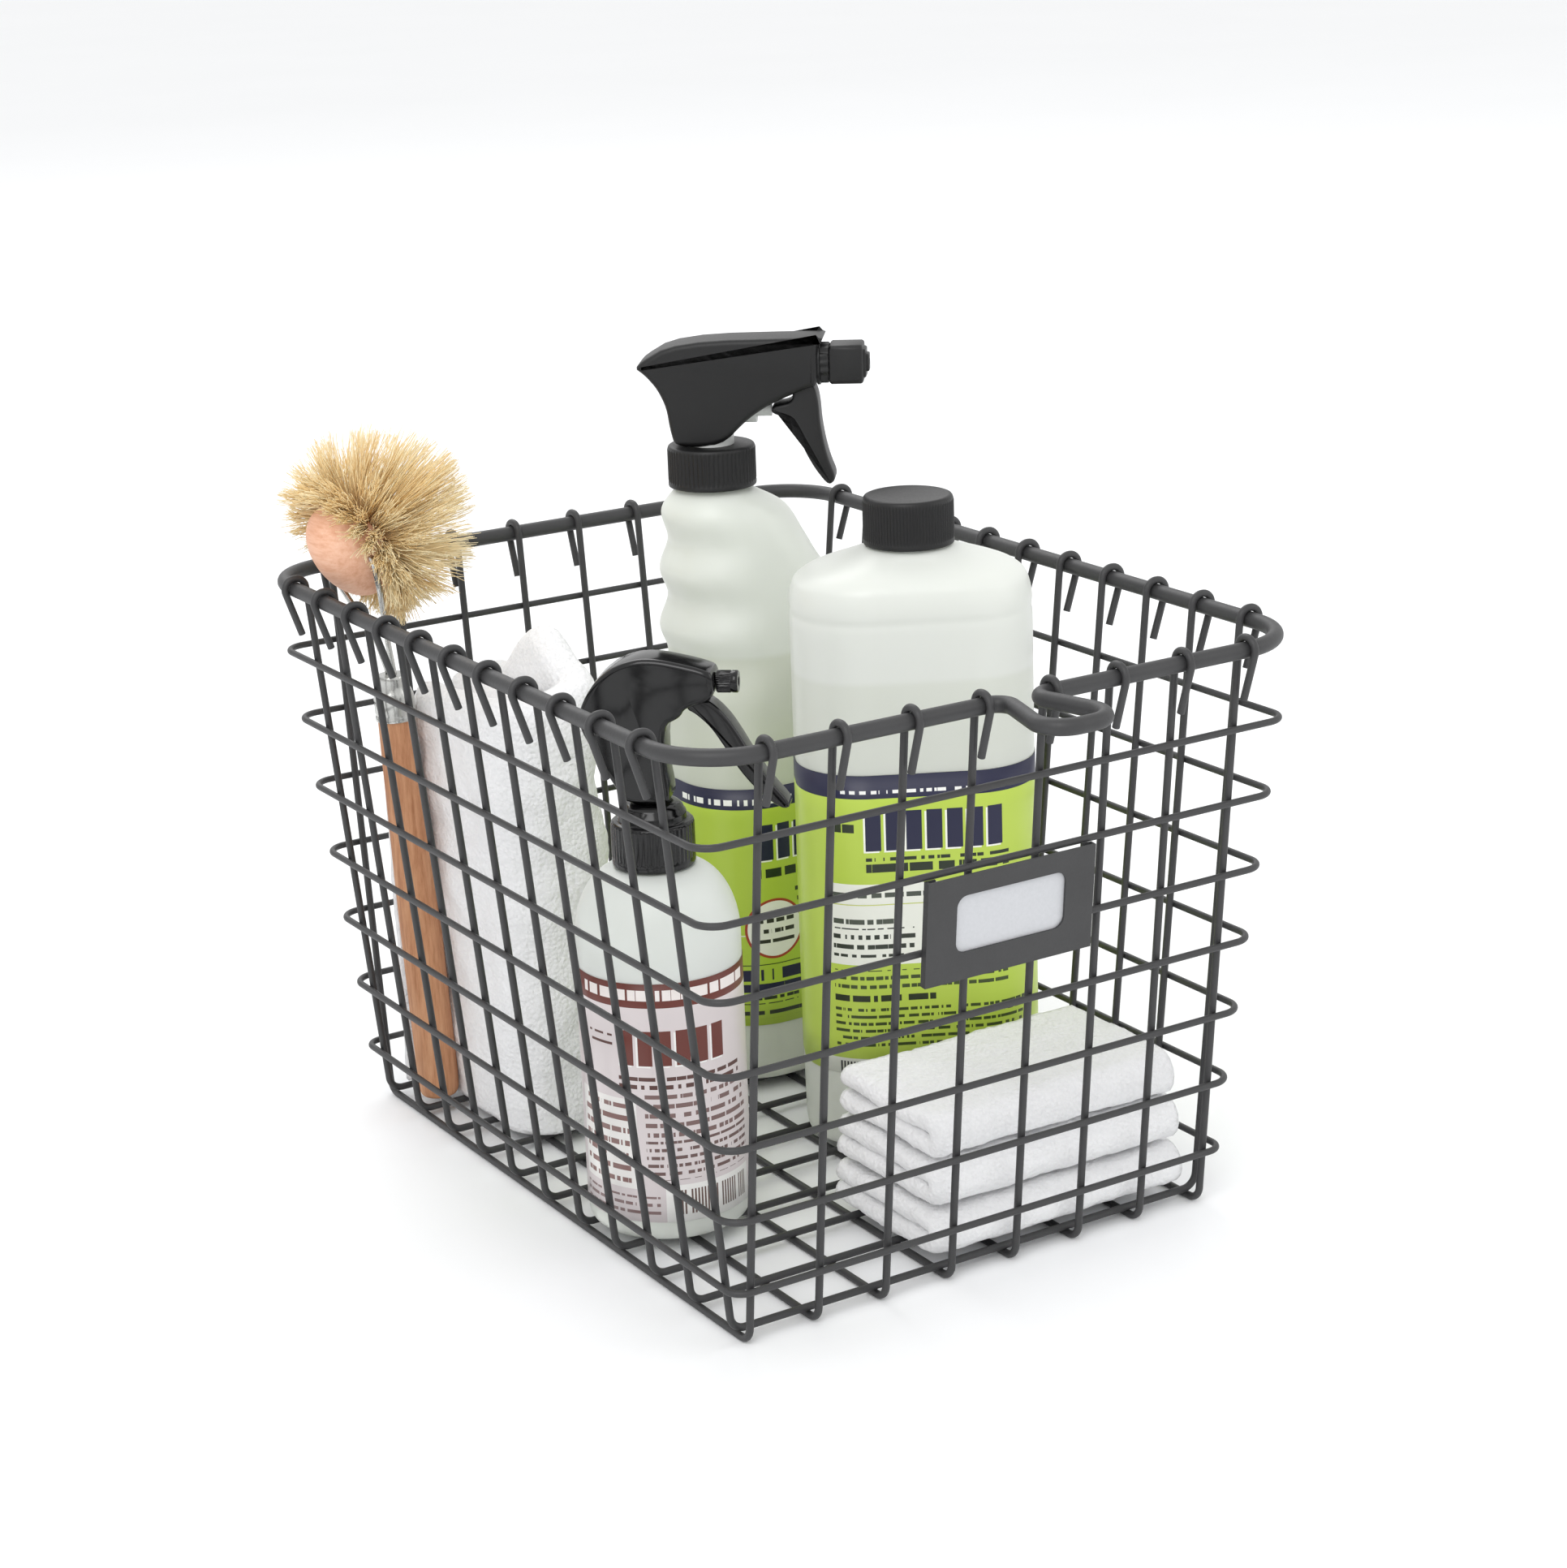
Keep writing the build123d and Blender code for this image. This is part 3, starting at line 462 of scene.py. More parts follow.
def printedFilm(name, ground, shade, shapes, gloss):
    # glossy film: its ground colour, then flat shapes and broken rows of print over it, in label millimetres
    film, tree, shader = newMaterial(name, Roughness=gloss, IOR=1.5)
    uv = addNode(tree, "ShaderNodeUVMap", {"uv_map": "print"}).outputs[0]
    parts = addNode(tree, "ShaderNodeSeparateXYZ", None, {0: uv})
    u, v = parts.outputs["X"], parts.outputs["Y"]
    press = noiseAt(tree, framePoint(tree), 30.0, 2.0)
    colour = blendColours(tree, press, linear(ground), linear(shade))
    for kind, u0, u1, v0, v1, ink, *more in shapes:
        if kind in ("disc", "ring"):
            mask = discMask(tree, u, v, u0, u1, v0, v1, *more)
        else:
            mask = maths(tree, "MULTIPLY", within(tree, u, u0, u1), within(tree, v, v0, v1))
        if kind in ("words", "bars"):  # greeked rows of print, or upright bars
            pitch, wide, fill = more
            across, along = (v, u) if kind == "words" else (u, v)
            row = maths(tree, "DIVIDE", across, pitch * mm)
            stripe = maths(tree, "LESS_THAN", maths(tree, "FRACT", row), fill)
            rowNumber = maths(tree, "FLOOR", row)
            letters = {0: maths(tree, "DIVIDE", along, wide * mm), 1: maths(tree, "MULTIPLY", rowNumber, 3.7)}
            cell = addNode(tree, "ShaderNodeCombineXYZ", None, letters)
            gaps = noiseAt(tree, cell.outputs[0], 1.0, 1.0)
            mask = maths(tree, "MULTIPLY", mask, stripe)
            if kind == "words":
                mask = maths(tree, "MULTIPLY", mask, maths(tree, "GREATER_THAN", gaps, 0.44))
            else:
                uneven = addNode(tree, "ShaderNodeCombineXYZ", None, {0: rowNumber})
                keep = noiseAt(tree, uneven.outputs[0], 7.3, 0.0)
                mask = maths(tree, "MULTIPLY", mask, maths(tree, "GREATER_THAN", keep, 0.4))
        colour = blendColours(tree, mask, colour, linear(ink))
    tree.links.new(colour, shader.inputs["Base Color"])
    tree.links.new(stretched(tree, press, gloss - 0.06, gloss + 0.08), shader.inputs["Roughness"])
    return film


def wordBlocks(u0, v0, count, wide, tall, gap, ink, shadow):
    # a row of plain upright blocks with an offset shadow
    blocks = []
    for i in range(count):
        left = u0 + i * (wide + gap)
        blocks.append(("box", left - 0.7, left + wide - 0.7, v0 - 0.6, v0 + tall - 0.6, shadow))
        blocks.append(("box", left, left + wide, v0, v0 + tall, ink))
    return blocks


lime, limeDeep, navy, cream = "#bdd451", "#aecb3e", "#1d1f3e", "#eef0e6"

# pieces: bottles

tallBottle = {"at": (49.8, 71.0, 5.29), "halfWidth": 43.0, "halfDepth": 30.0, "height": 229.0, "neckBack": 23.0,
              "neck": 12.3, "straight": 150.0, "gripPitch": 22.2, "gripDepth": 3.6, "roundness": 0.86,
              "labelLow": 23.5, "labelHigh": 118.0, "fill": 168.0, "around": 144, "turn": -37.0}


def makeTallBottle(p):
    w, d, g, top, pitch = p["halfWidth"], p["halfDepth"], p["gripDepth"], p["height"], p["gripPitch"]
    neck = p["neck"] + 2
    rows = [  # height, left reach, right reach, half depth
        (0, w - 4, w - 4, d - 4), (1.2, w - 1.8, w - 1.8, d - 1.8),
        (4, w - 0.4, w - 0.4, d - 0.4), (60, w, w, d), (p["straight"], w, w, d),
        (top - 2.9 * pitch, w - g, w - 0.6, d - 0.4), (top - 2.4 * pitch, w, w - 6.5, d - 1.4),
        (top - 1.9 * pitch, w - g, w - 16, d - 2.8), (top - 1.4 * pitch, w, w - 25, d - 4.6),
        (top - 0.9 * pitch, w - g, w - 31.5, d - 6.5),
        (top - 0.42 * pitch, w - 0.6, w - 38, d - 9.5),
        (top - 1.0, p["neckBack"] + neck, neck - p["neckBack"], neck),
        (top + 0.6, p["neckBack"] + p["neck"], p["neck"] - p["neckBack"], p["neck"]),
        (top + 12.4, p["neckBack"] + p["neck"], p["neck"] - p["neckBack"], p["neck"])]
    heights = np.array([r[0] for r in rows])
    foot, body, neckRun = np.arange(0, 5, 0.5), np.arange(5, top - 1, 1.5), np.arange(top - 1, top + 12.4, 1.0)
    at = np.unique(np.concatenate([foot, body, neckRun]))
    left, right, depth = (smoothRows(heights, [r[i] for r in rows], at) for i in (1, 2, 3))
    roundness = np.interp(at, [0, p["straight"], top], [p["roundness"], p["roundness"], 1.0])
    rings = [ovalRing(a, b, c, r, p["around"])[0] for a, b, c, r in zip(left, right, depth, roundness)]
    points, faces = loftRings(rings, at)
    fluidTop = (p["at"][2] + p["fill"]) * mm
    look = milkyPlastic("milky_polyethylene_blown_tall", fluidTop, ("#cdd1c4", "#d3d7cb"), "#d9ddd5")
    return creased(makePiece("tall_bottle_body", turnedAbout(points, p["at"], 0), faces, look, "tall_bottle"))


def makeWrap(name, p, body, look, turn=0.0, grow=0.23):
    # a printed label round an oval bottle: its print is laid out in metres from the middle of the front
    count = p["around"]
    ring, length = ovalRing(p["halfWidth"], p["halfWidth"], p["halfDepth"], p["roundness"], count, grow)
    ring = np.vstack([ring[count // 2:], ring[:count // 2 + 1]])
    run = (np.arange(count + 1) / count - 0.5) * length
    heights = np.linspace(p["labelLow"], p["labelHigh"], 9)
    points = [(x, y, z) for z in heights for x, y in ring]
    uvs = [(s * mm, (z - p["labelLow"]) * mm) for z in heights for s in run]
    faces = gridFaces(len(heights), count + 1, closed=False)
    piece = makePiece(name, turnedAbout(points, p["at"], turn), faces, look, body, uvs=uvs)
    film = piece.modifiers.new("film", "SOLIDIFY")
    film.thickness, film.offset = 0.16 * mm, -1
    return piece


tallPiece = makeTallBottle(tallBottle)
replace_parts(tallPiece, "tall_bottle")
tallPrint = [("box", -200, 200, 86.5, 94.6, navy), ("words", -60, 70, 88.2, 92.6, "#f2f3ee", 6.3, 2.2, 0.36)]
tallPrint += wordBlocks(-26, 66, 7, 5.2, 14, 1.9, navy, "#f4f6ec")
tallPrint += [("words", -26, 26, 57.5, 62.5, "#22301f", 5.9, 3.0, 0.7),
              ("words", -12, 42, 41, 55, "#2c3a1c", 4.0, 2.1, 0.42),
              ("box", -70, 70, 36.2, 36.6, "#f0f3e0"),
              ("disc", -33, -9, 26.5, 50.5, "#f5f4ee"), ("ring", -33, -9, 26.5, 50.5, "#a8402c", 1.0),
              ("words", -29, -13, 33, 45, "#33332f", 4.1, 2.0, 0.4),
              ("box", -200, 200, 24.2, 24.6, "#33451f"),
              ("words", -38, 44, 13.5, 22.5, navy, 9.0, 5.2, 0.86),
              ("words", -38, 44, 8.5, 11.5, "#2b3420", 3.4, 2.4, 0.62),
              ("words", -38, 44, 2.5, 5.8, "#2b3420", 4.2, 3.4, 0.6)]
tallFilm = printedFilm("printed_film_label_lime_gloss", lime, limeDeep, tallPrint, 0.34)
tallWrap = makeWrap("tall_bottle_wrap", tallBottle, "tall_bottle", tallFilm)
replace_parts(tallWrap, "tall_label")

refillBottle = {"at": (52.0, -21.0, 5.29), "halfWidth": 43.0, "halfDepth": 29.0, "body": 206.0, "height": 219.5,
                "neck": 13.0, "roundness": 0.86, "labelLow": 30.0, "labelHigh": 143.0, "fill": 176.0,
                "around": 144, "turn": -28.0}


def makeRefillBottle(p):
    w, d, body, top, neck = p["halfWidth"], p["halfDepth"], p["body"], p["height"], p["neck"]
    rows = [  # height, half width, half depth
        (0, w - 3.5, d - 3.5), (1.2, w - 1.4, d - 1.4), (3.5, w - 0.3, d - 0.3), (60, w, d), (body - 6, w, d),
        (body + 1.5, w - 1.4, d - 1.2), (body + 5, w - 5, d - 3.6), (body + 8, w - 12, d - 7.5),
        (body + 10.5, w - 20, d - 11.5), (top - 0.6, neck + 3, neck + 2), (top + 0.8, neck, neck),
        (top + 14.4, neck, neck)]
    heights = np.array([r[0] for r in rows])
    side, shoulder = np.arange(5, body - 20, 6.0), np.arange(body - 20, top + 14.4, 0.8)
    at = np.unique(np.concatenate([np.arange(0, 5, 0.5), side, shoulder]))
    wide, deep = (smoothRows(heights, [r[i] for r in rows], at) for i in (1, 2))
    # a slight moulded step runs round the body below the shoulder
    step = 0.35 * np.exp(-((at - (body - 9)) / 1.4) ** 2)
    roundness = np.interp(at, [0, body - 14, top], [p["roundness"], p["roundness"], 1.0])
    rings = [ovalRing(a - s, a - s, b - s, r, p["around"])[0]
             for a, b, s, r in zip(wide, deep, step, roundness)]
    points, faces = loftRings(rings, at)
    fluidTop = (p["at"][2] + p["fill"]) * mm
    look = milkyPlastic("milky_polyethylene_blown_refill", fluidTop, ("#d0d4ca", "#d7dad2"), "#dbded8")
    placed = turnedAbout(points, p["at"], p["turn"])
    return creased(makePiece("refill_bottle_body", placed, faces, look, "refill_bottle"))


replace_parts(makeRefillBottle(refillBottle), "refill_bottle")
refillPrint = [("box", -200, 200, 104.4, 113, navy), ("words", -34, 34, 106.2, 111, "#f1f2ee", 7.4, 2.3, 0.52),
               ("words", -33, -23, 90.5, 95, "#28321e", 5.4, 3.4, 0.6)]
refillPrint += wordBlocks(-21, 85, 7, 5.6, 14.6, 1.7, navy, "#f6f8ee")
refillPrint += [("words", -21, 31, 77, 82.5, "#232e1c", 5.8, 2.6, 0.82),
                ("box", -37, 42, 63.5, 72.6, cream), ("words", -35, 40, 67.5, 71, "#4a5148", 4.2, 2.0, 0.5),
                ("box", -37, 42, 64.6, 65.0, "#c6d06e"), ("box", -37, 8, 42, 63.6, cream),
                ("words", -34, -10, 57.5, 61, "#4b5247", 4.4, 1.6, 0.5),
                ("words", -34, -4, 45, 56, "#2f362c", 3.7, 1.9, 0.46),
                ("words", -34, 30, 32, 40, "#3d4c22", 3.3, 1.7, 0.42),
                ("words", -34, 3, 27.5, 31, "#26301b", 4.0, 3.0, 0.6),
                ("words", -34, 42, 9.5, 26.5, "#3a4920", 2.7, 1.6, 0.42),
                ("box", -40, 6, -1, 6.0, cream), ("bars", -33, 3, -1, 4.8, "#2a2a2c", 1.25, 4.0, 0.55)]
refillFilm = printedFilm("printed_film_label_lime_cream_gloss", "#c3d95c", "#b4cf47", refillPrint, 0.36)
refillWrap = makeWrap("refill_bottle_wrap", refillBottle, "refill_bottle", refillFilm, refillBottle["turn"])
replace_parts(refillWrap, "refill_label")

smallBottle = {"at": (-65.5, -36.0, 5.29), "radius": 28.5, "body": 103.0, "height": 128.5, "neck": 10.8,
               "labelLow": 8.0, "labelHigh": 95.0, "fill": 92.0, "around": 128, "turn": -40.0,
               "halfWidth": 28.5, "halfDepth": 28.5, "roundness": 1.0}


def makeSmallBottle(p):
    r, body, top, neck = p["radius"], p["body"], p["height"], p["neck"]
    outline = [(r - 7, 0.0), (r - 5, 0.0), (r - 2.6, 0.5), (r - 1.1, 1.7), (r - 0.3, 3.4), (r, 5.5)]
    outline += [(r, z) for z in np.linspace(12, body, 16)]
    for k in range(1, 19):
        a = math.radians(5 * k)
        outline.append((neck + 1 + (r - neck - 1) * math.cos(a), body + (top - body) * math.sin(a)))
    outline += [(neck, top + 0.4), (neck, top + 11.5)]
    points, faces = lathe(outline, p["around"])
    fluidTop = (p["at"][2] + p["fill"]) * mm
    look = milkyPlastic("milky_polyethylene_blown_small", fluidTop, ("#d1d5cd", "#d8dcd5"), "#dde1dc")
    placed = turnedAbout(points, p["at"], 0)
    return creased(makePiece("small_bottle_body", placed, faces, look, "small_bottle"), 50)


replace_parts(makeSmallBottle(smallBottle), "small_bottle")
mauve, brown = "#d9d0d1", "#6a3229"
smallPrint = [("box", -200, -43, -5, 99, "#e1e3dd"), ("box", -40, 62, 78.4, 87, brown),
              ("words", -28, 40, 80.3, 84.8, "#f0e9e6", 8.1, 2.4, 0.6),
              ("words", -26, -15, 64, 68, "#5b3a34", 5.6, 3.2, 0.6)]
smallPrint += wordBlocks(-12, 57.5, 6, 4.9, 12.6, 1.7, brown, "#f2f0ee")
smallPrint += [("words", -13, 34, 49, 53.4, "#5a3b36", 5.2, 2.6, 0.72),
               ("box", -34, -7, 12, 45, "#efedea"), ("words", -32, -10, 14, 43, "#8b6c68", 4.6, 1.9, 0.42),
               ("words", -4, 38, 31, 47, "#7d6461", 3.5, 1.8, 0.46),
               ("words", -4, 38, 15.5, 30, "#6f5754", 2.9, 1.6, 0.42),
               ("words", -34, 0, 2, 9.5, "#8a7170", 2.9, 1.7, 0.4),
               ("box", 2, 38, -1, 13.6, "#f0efec"), ("bars", 5, 36, 2.6, 11.6, "#6c5650", 1.2, 4.0, 0.55)]
smallFilm = printedFilm("printed_film_label_mauve_gloss", mauve, "#e0d8d8", smallPrint, 0.3)
smallWrap = makeWrap("small_bottle_wrap", smallBottle, "small_bottle", smallFilm, smallBottle["turn"] + 4)
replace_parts(smallWrap, "small_label")
print("bottles and labels made")

# pieces: closures and spray heads

def ribbedCap(name, radius, low, high, ribs, depth, at, body, look, topSeat=0.0, crown=0.8):
    # a screw closure: plain foot, ribbed skirt, rounded crown
    outline = [(radius - 0.9, low), (radius - 0.15, low + 0.1), (radius, low + 0.5), (radius, low + 1.3),
               (radius - 0.1, low + 1.7), (radius, low + 2.4)]
    outline += [(radius, z) for z in np.linspace(low + 3.5, high - crown - 0.9, 6)]
    ribbed = set(range(5, len(outline)))
    outline += [(radius - 0.15, high - crown - 0.3), (radius - 0.4, high - crown * 0.6),
                (radius - 0.75, high - crown * 0.2), (radius - 1.3, high), (radius - 2.2, high),
                (radius - 2.8, high - topSeat), (2.0, high - topSeat)]
    points, faces = lathe(outline, ribs * 6, ribs, depth, ribbed)
    return makePiece(name, turnedAbout(points, at, 0), faces, look, body)


def mouth(p):
    # the middle of a bottle's mouth
    x, y, z = p["at"]
    return x - p.get("neckBack", 0.0), y, z + p["height"]


tallNeck, refillTop, smallTop = mouth(tallBottle), mouth(refillBottle), mouth(smallBottle)
tallCap = ribbedCap("tall_closure_ribbed", 16.4, 0.3, 15.6, 60, 0.45, tallNeck, "tall_spray_head", blackSatin)
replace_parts(tallCap, "tall_collar")
refillCap = ribbedCap("refill_closure_ribbed", 16.2, 0.3, 17.5, 84, 0.35, refillTop, "refill_cap", blackSatin,
                      topSeat=0.25, crown=1.2)
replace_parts(refillCap, "refill_cap")

tallHead = {
    "width": 19.0, "edge": 2.2, "wall": 1.5, "lift": 0.6, "cavityFrom": (-12.2, 5.0), "cavityTo": (39.5, 50.5),
    "shroud": [(-12.5, 15.2), (4.6, 15.2), (15.0, 25.4), (24.0, 31.0), (38.0, 36.6), (41.0, 37.2), (41.0, 54.0),
               (44.5, 55.0), (-10.9, 54.6), (-27.0, 45.4), (-22.5, 42.0), (-18.2, 36.8), (-15.2, 30.0),
               (-14.2, 22.0)],
    "triggerWidth": 13.0,
    "trigger": [(31.8, 40.3), (37.2, 40.8), (38.6, 38.4), (40.2, 34.6), (40.9, 30.0), (41.2, 24.0), (42.2, 17.0),
                (43.8, 10.0), (46.6, 2.6), (43.6, 0.0), (39.0, 6.0), (35.4, 12.6), (32.6, 19.8), (31.0, 25.4),
                (23.4, 27.2), (23.4, 30.2), (31.0, 31.4), (31.6, 36.0)]}
smallHead = {
    "width": 15.0, "edge": 1.8, "triggerWidth": 10.0, "slotFrom": (8.6, 46.0), "slotTo": (30.0, 60.2),
    "shell": [(-7.5, 22.9), (7.5, 22.9), (7.5, 28.0), (6.5, 34.0), (6.5, 50.5), (12.0, 53.0), (14.0, 56.5),
              (24.0, 59.4), (24.0, 68.4), (19.5, 70.2), (13.0, 71.8), (5.0, 73.4), (-2.0, 73.4), (-9.0, 71.2),
              (-15.5, 66.4), (-20.5, 59.0), (-23.0, 51.6), (-17.5, 40.0), (-11.0, 29.0)],
    "trigger": [(14.2, 59.4), (20.4, 59.4), (24.4, 56.6), (28.2, 52.4), (31.6, 47.0), (35.0, 40.8),
                (40.0, 32.6), (48.8, 22.0), (45.2, 20.8), (38.0, 26.2), (31.4, 34.0), (26.6, 42.2),
                (22.0, 49.4), (17.0, 54.0), (14.2, 55.4)]}


def onTallHead(points):
    return turnedAbout(points, tallNeck, tallBottle["turn"])


def onSmallHead(points):
    return turnedAbout(points, smallTop, smallBottle["turn"])


points, faces = roundedPlate(tallHead["trigger"], tallHead["triggerWidth"], 1.3)
tallTrigger = makePiece("tall_trigger_lever", onTallHead(points), faces, blackSatin, "tall_trigger")
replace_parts(creased(tallTrigger, 50), "tall_trigger")

points, faces = roundedPlate(smallHead["shell"], smallHead["width"], smallHead["edge"], 5, 2)
shell = makePiece("small_head_shell", onSmallHead(points), faces, blackGloss, "small_spray_head")
slotHalf = smallHead["triggerWidth"] / 2 + 0.4
(x0, z0), (x1, z1) = smallHead["slotFrom"], smallHead["slotTo"]
cutAway(shell, (x0, -slotHalf, z0), (x1, slotHalf, z1), smallTop, smallBottle["turn"])
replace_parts(creased(shell, 50), "small_head")
points, faces = roundedPlate(smallHead["trigger"], smallHead["triggerWidth"], 1.5, 5, 2)
smallTrigger = makePiece("small_trigger_lever", onSmallHead(points), faces, blackGloss, "small_trigger")
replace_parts(creased(smallTrigger, 50), "small_trigger")
outline = [(13.4, 0.3), (14.1, 0.5), (14.3, 1.0), (14.3, 2.6), (14.2, 3.0), (14.3, 3.6), (14.3, 9.0),
           (14.3, 14.6), (14.1, 15.3), (13.6, 15.8), (12.6, 16.0), (11.9, 16.1), (11.7, 16.5), (11.7, 18.2),
           (11.5, 18.8), (11.0, 19.2), (10.6, 20.6), (9.6, 21.6), (8.6, 22.2), (6.9, 22.5)]
points, faces = lathe(outline, 288, 48, 0.22, {5, 6, 7})
placed = turnedAbout(points, smallTop, 0)
smallCollar = makePiece("small_closure_two_tier", placed, faces, blackGloss, "small_spray_head")
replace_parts(smallCollar, "small_collar")


def makeStem():
    # the upright stem between the collar and the shell, with two moulded steps
    outline = [(6.5, 22.6), (6.5, 24.0), (5.9, 24.4), (5.9, 30.0), (5.4, 30.6), (5.4, 47.0)]
    points, faces = lathe(outline, 72)
    return makePiece("small_head_stem", turnedAbout(points, smallTop, 0), faces, blackGloss, "small_spray_head")


makeStem()


def makeSmallNozzle():
    # a finely ribbed barrel with a plain ring at its mouth
    outline = [(1.2, 24.2), (3.5, 24.2), (3.8, 24.5), (3.8, 26.0), (3.8, 28.9), (3.6, 29.1), (3.6, 29.3),
               (3.8, 29.5), (3.8, 31.1), (3.5, 31.5), (1.7, 31.5), (1.2, 30.6)]
    points, faces = lathe(outline, 168, 28, 0.3, {2, 3, 4})
    local = [(z, x, 64.2 + y) for x, y, z in points]
    return makePiece("small_nozzle_ribbed", onSmallHead(local), faces, blackGloss, "small_nozzle")


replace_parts(creased(makeSmallNozzle(), 45), "small_nozzle")
print("closures and spray heads made")

points, faces = roundedPlate(tallHead["shroud"], tallHead["width"], tallHead["edge"], 5, 2)
casing = [(x, y, z + tallHead["lift"]) for x, y, z in points]
shroud = makePiece("tall_head_shroud", onTallHead(casing), faces, blackSatin, "tall_spray_head")
inside = tallHead["width"] / 2 - tallHead["wall"]
(x0, z0), (x1, z1) = tallHead["cavityFrom"], tallHead["cavityTo"]
cutAway(shroud, (x0, -inside, z0), (x1, inside, z1), tallNeck, tallBottle["turn"])
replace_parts(creased(shroud, 50), "tall_shroud")


def makeTallNozzle():
    # square twist cap: rounded sides, a raised square on its face and a small round mouth
    loop, half = [], 7.2
    for cx, cy, first in ((1, 1, 0), (-1, 1, 90), (-1, -1, 180), (1, -1, 270)):
        for k in range(5):
            a = math.radians(first + 22.5 * k)
            loop.append((cx * (half - 1.8) + 1.8 * math.cos(a), cy * (half - 1.8) + 1.8 * math.sin(a)))
    rows = [  # size, distance along
        (0.93, 45.2), (1.0, 45.9), (1.0, 56.6), (0.96, 57.2), (0.9, 57.5), (0.74, 57.5), (0.72, 58.2),
        (0.68, 58.5), (0.46, 58.5), (0.44, 59.4), (0.4, 59.6), (0.16, 59.6), (0.14, 58.4)]
    local = [(along, x * size, 45.0 + y * size) for size, along in rows for x, y in loop]
    faces = skinFaces(len(rows), len(loop))
    return makePiece("tall_nozzle_square", onTallHead(local), faces, blackSatin, "tall_nozzle")


def makeOutletFlange():
    # ribbed square flange round the outlet, closing the shroud's front behind the nozzle
    loop = []
    for k in range(96):
        a = 2 * math.pi * (k + 0.5) / 96
        reach = 7.5 / max(abs(math.cos(a)), abs(math.sin(a))) - 1.4 * (abs(math.sin(2 * a)) ** 6)
        loop.append((reach * math.cos(a), reach * math.sin(a), 0.35 * (k % 6 < 3)))
    rows = [  # size, distance along, whether it is ribbed
        (0.5, 40.6, 0), (1.04, 40.6, 0), (1.04, 41.6, 0), (0.97, 41.9, 1), (0.97, 44.4, 1), (0.93, 44.9, 0),
        (0.5, 44.9, 0)]
    local = [(along, y * size * (1 - rib * r / 7.5), 45.0 + z * size * (1 - rib * r / 7.5))
             for size, along, rib in rows for y, z, r in loop]
    faces = gridFaces(len(rows), len(loop))
    last = (len(rows) - 1) * len(loop)
    faces += [(last + c, last + (c + 1) % len(loop), (c + 1) % len(loop), c) for c in range(len(loop))]
    return makePiece("tall_outlet_flange", onTallHead(local), faces, blackSatin, "tall_spray_head")


creased(makeOutletFlange(), 40)
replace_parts(creased(makeTallNozzle(), 40), "tall_nozzle")

# pieces: dish brush

brush = {
    "at": (-84.6, 107.0, 5.29), "leanX": 2.0, "leanY": 1.5, "pivot": (-11.0, 0.0, 217.0), "faceAngle": 28.0,
    "blockRadius": 18.5, "blockDome": 12.5, "ballRadius": 38.0, "ballOut": 16.0, "perTuft": 60, "strand": 0.24,
    "rings": ((4.2, 6), (8.2, 11), (12.1, 16), (15.4, 20), (17.6, 24)), "fan": 128, "edgeFrom": 17.0}
brushFrame = Matrix.Translation(Vector(brush["at"])) @ Matrix.Rotation(math.radians(-brush["leanY"]), 4, "X") \
    @ Matrix.Rotation(math.radians(-brush["leanX"]), 4, "Y")
headFrame = brushFrame @ Matrix.Translation(Vector(brush["pivot"])) \
    @ Matrix.Rotation(math.radians(90 - brush["faceAngle"]), 4, "Y")


def through(matrix, points):
    rotation, move = np.array(matrix.to_3x3()), np.array(matrix.translation)
    return (np.asarray(points, float) @ rotation.T + move) * mm


handleWood = woodMaterial("beech_oiled_handle_long_grain", 2, ("#a46a45", "#c48d66", "#d3a27c"))
blockWood = woodMaterial("beech_oiled_block_cross_grain", 1, ("#d59a78", "#e6b395", "#eec3a8"))
handleRows = [(0.4, 3.6), (0.7, 4.9), (1.4, 6.5), (2.6, 7.2), (4.0, 7.5), (12.0, 7.8), (60.0, 7.8),
              (120.0, 7.3), (154.8, 6.8)]
at = np.unique(np.concatenate([np.linspace(0.4, 4, 8), np.linspace(4, 154.8, 60)]))
radii = smoothRows([r[0] for r in handleRows], [r[1] for r in handleRows], at)
points, faces = lathe(list(zip(radii, at)), 64)
handle = makePiece("brush_handle_turned", through(brushFrame, points), faces, handleWood, "dish_brush")
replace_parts(creased(handle, 60), "brush_handle")
outline = [(6.95, 151.0), (7.5, 151.0), (7.55, 151.4), (7.5, 152.6), (7.25, 153.0), (7.25, 153.5), (7.5, 153.9),
           (7.5, 159.2), (7.3, 160.4), (6.8, 161.8), (6.2, 163.0), (5.85, 164.6), (5.7, 166.4), (5.6, 167.5),
           (5.2, 168.0), (1.0, 168.0)]
points, faces = lathe(outline, 96)
ferrule = makePiece("brush_ferrule_crimped", through(brushFrame, points), faces, steel, "dish_brush")
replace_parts(creased(ferrule, 50), "brush_ferrule")
dome = []
for a in (math.radians(degrees) for degrees in range(88, -1, -8)):
    dome.append((brush["blockRadius"] * math.cos(a), -brush["blockDome"] * math.sin(a)))
outline = dome + [(18.5, 3.0), (18.5, 6.9), (18.2, 7.6), (17.6, 8.0), (8.0, 8.0), (1.0, 8.0)]
points, faces = lathe(outline, 96)
block = makePiece("brush_block_turned", through(headFrame, points), faces, blockWood, "brush_head")
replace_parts(creased(block, 50), "brush_block")


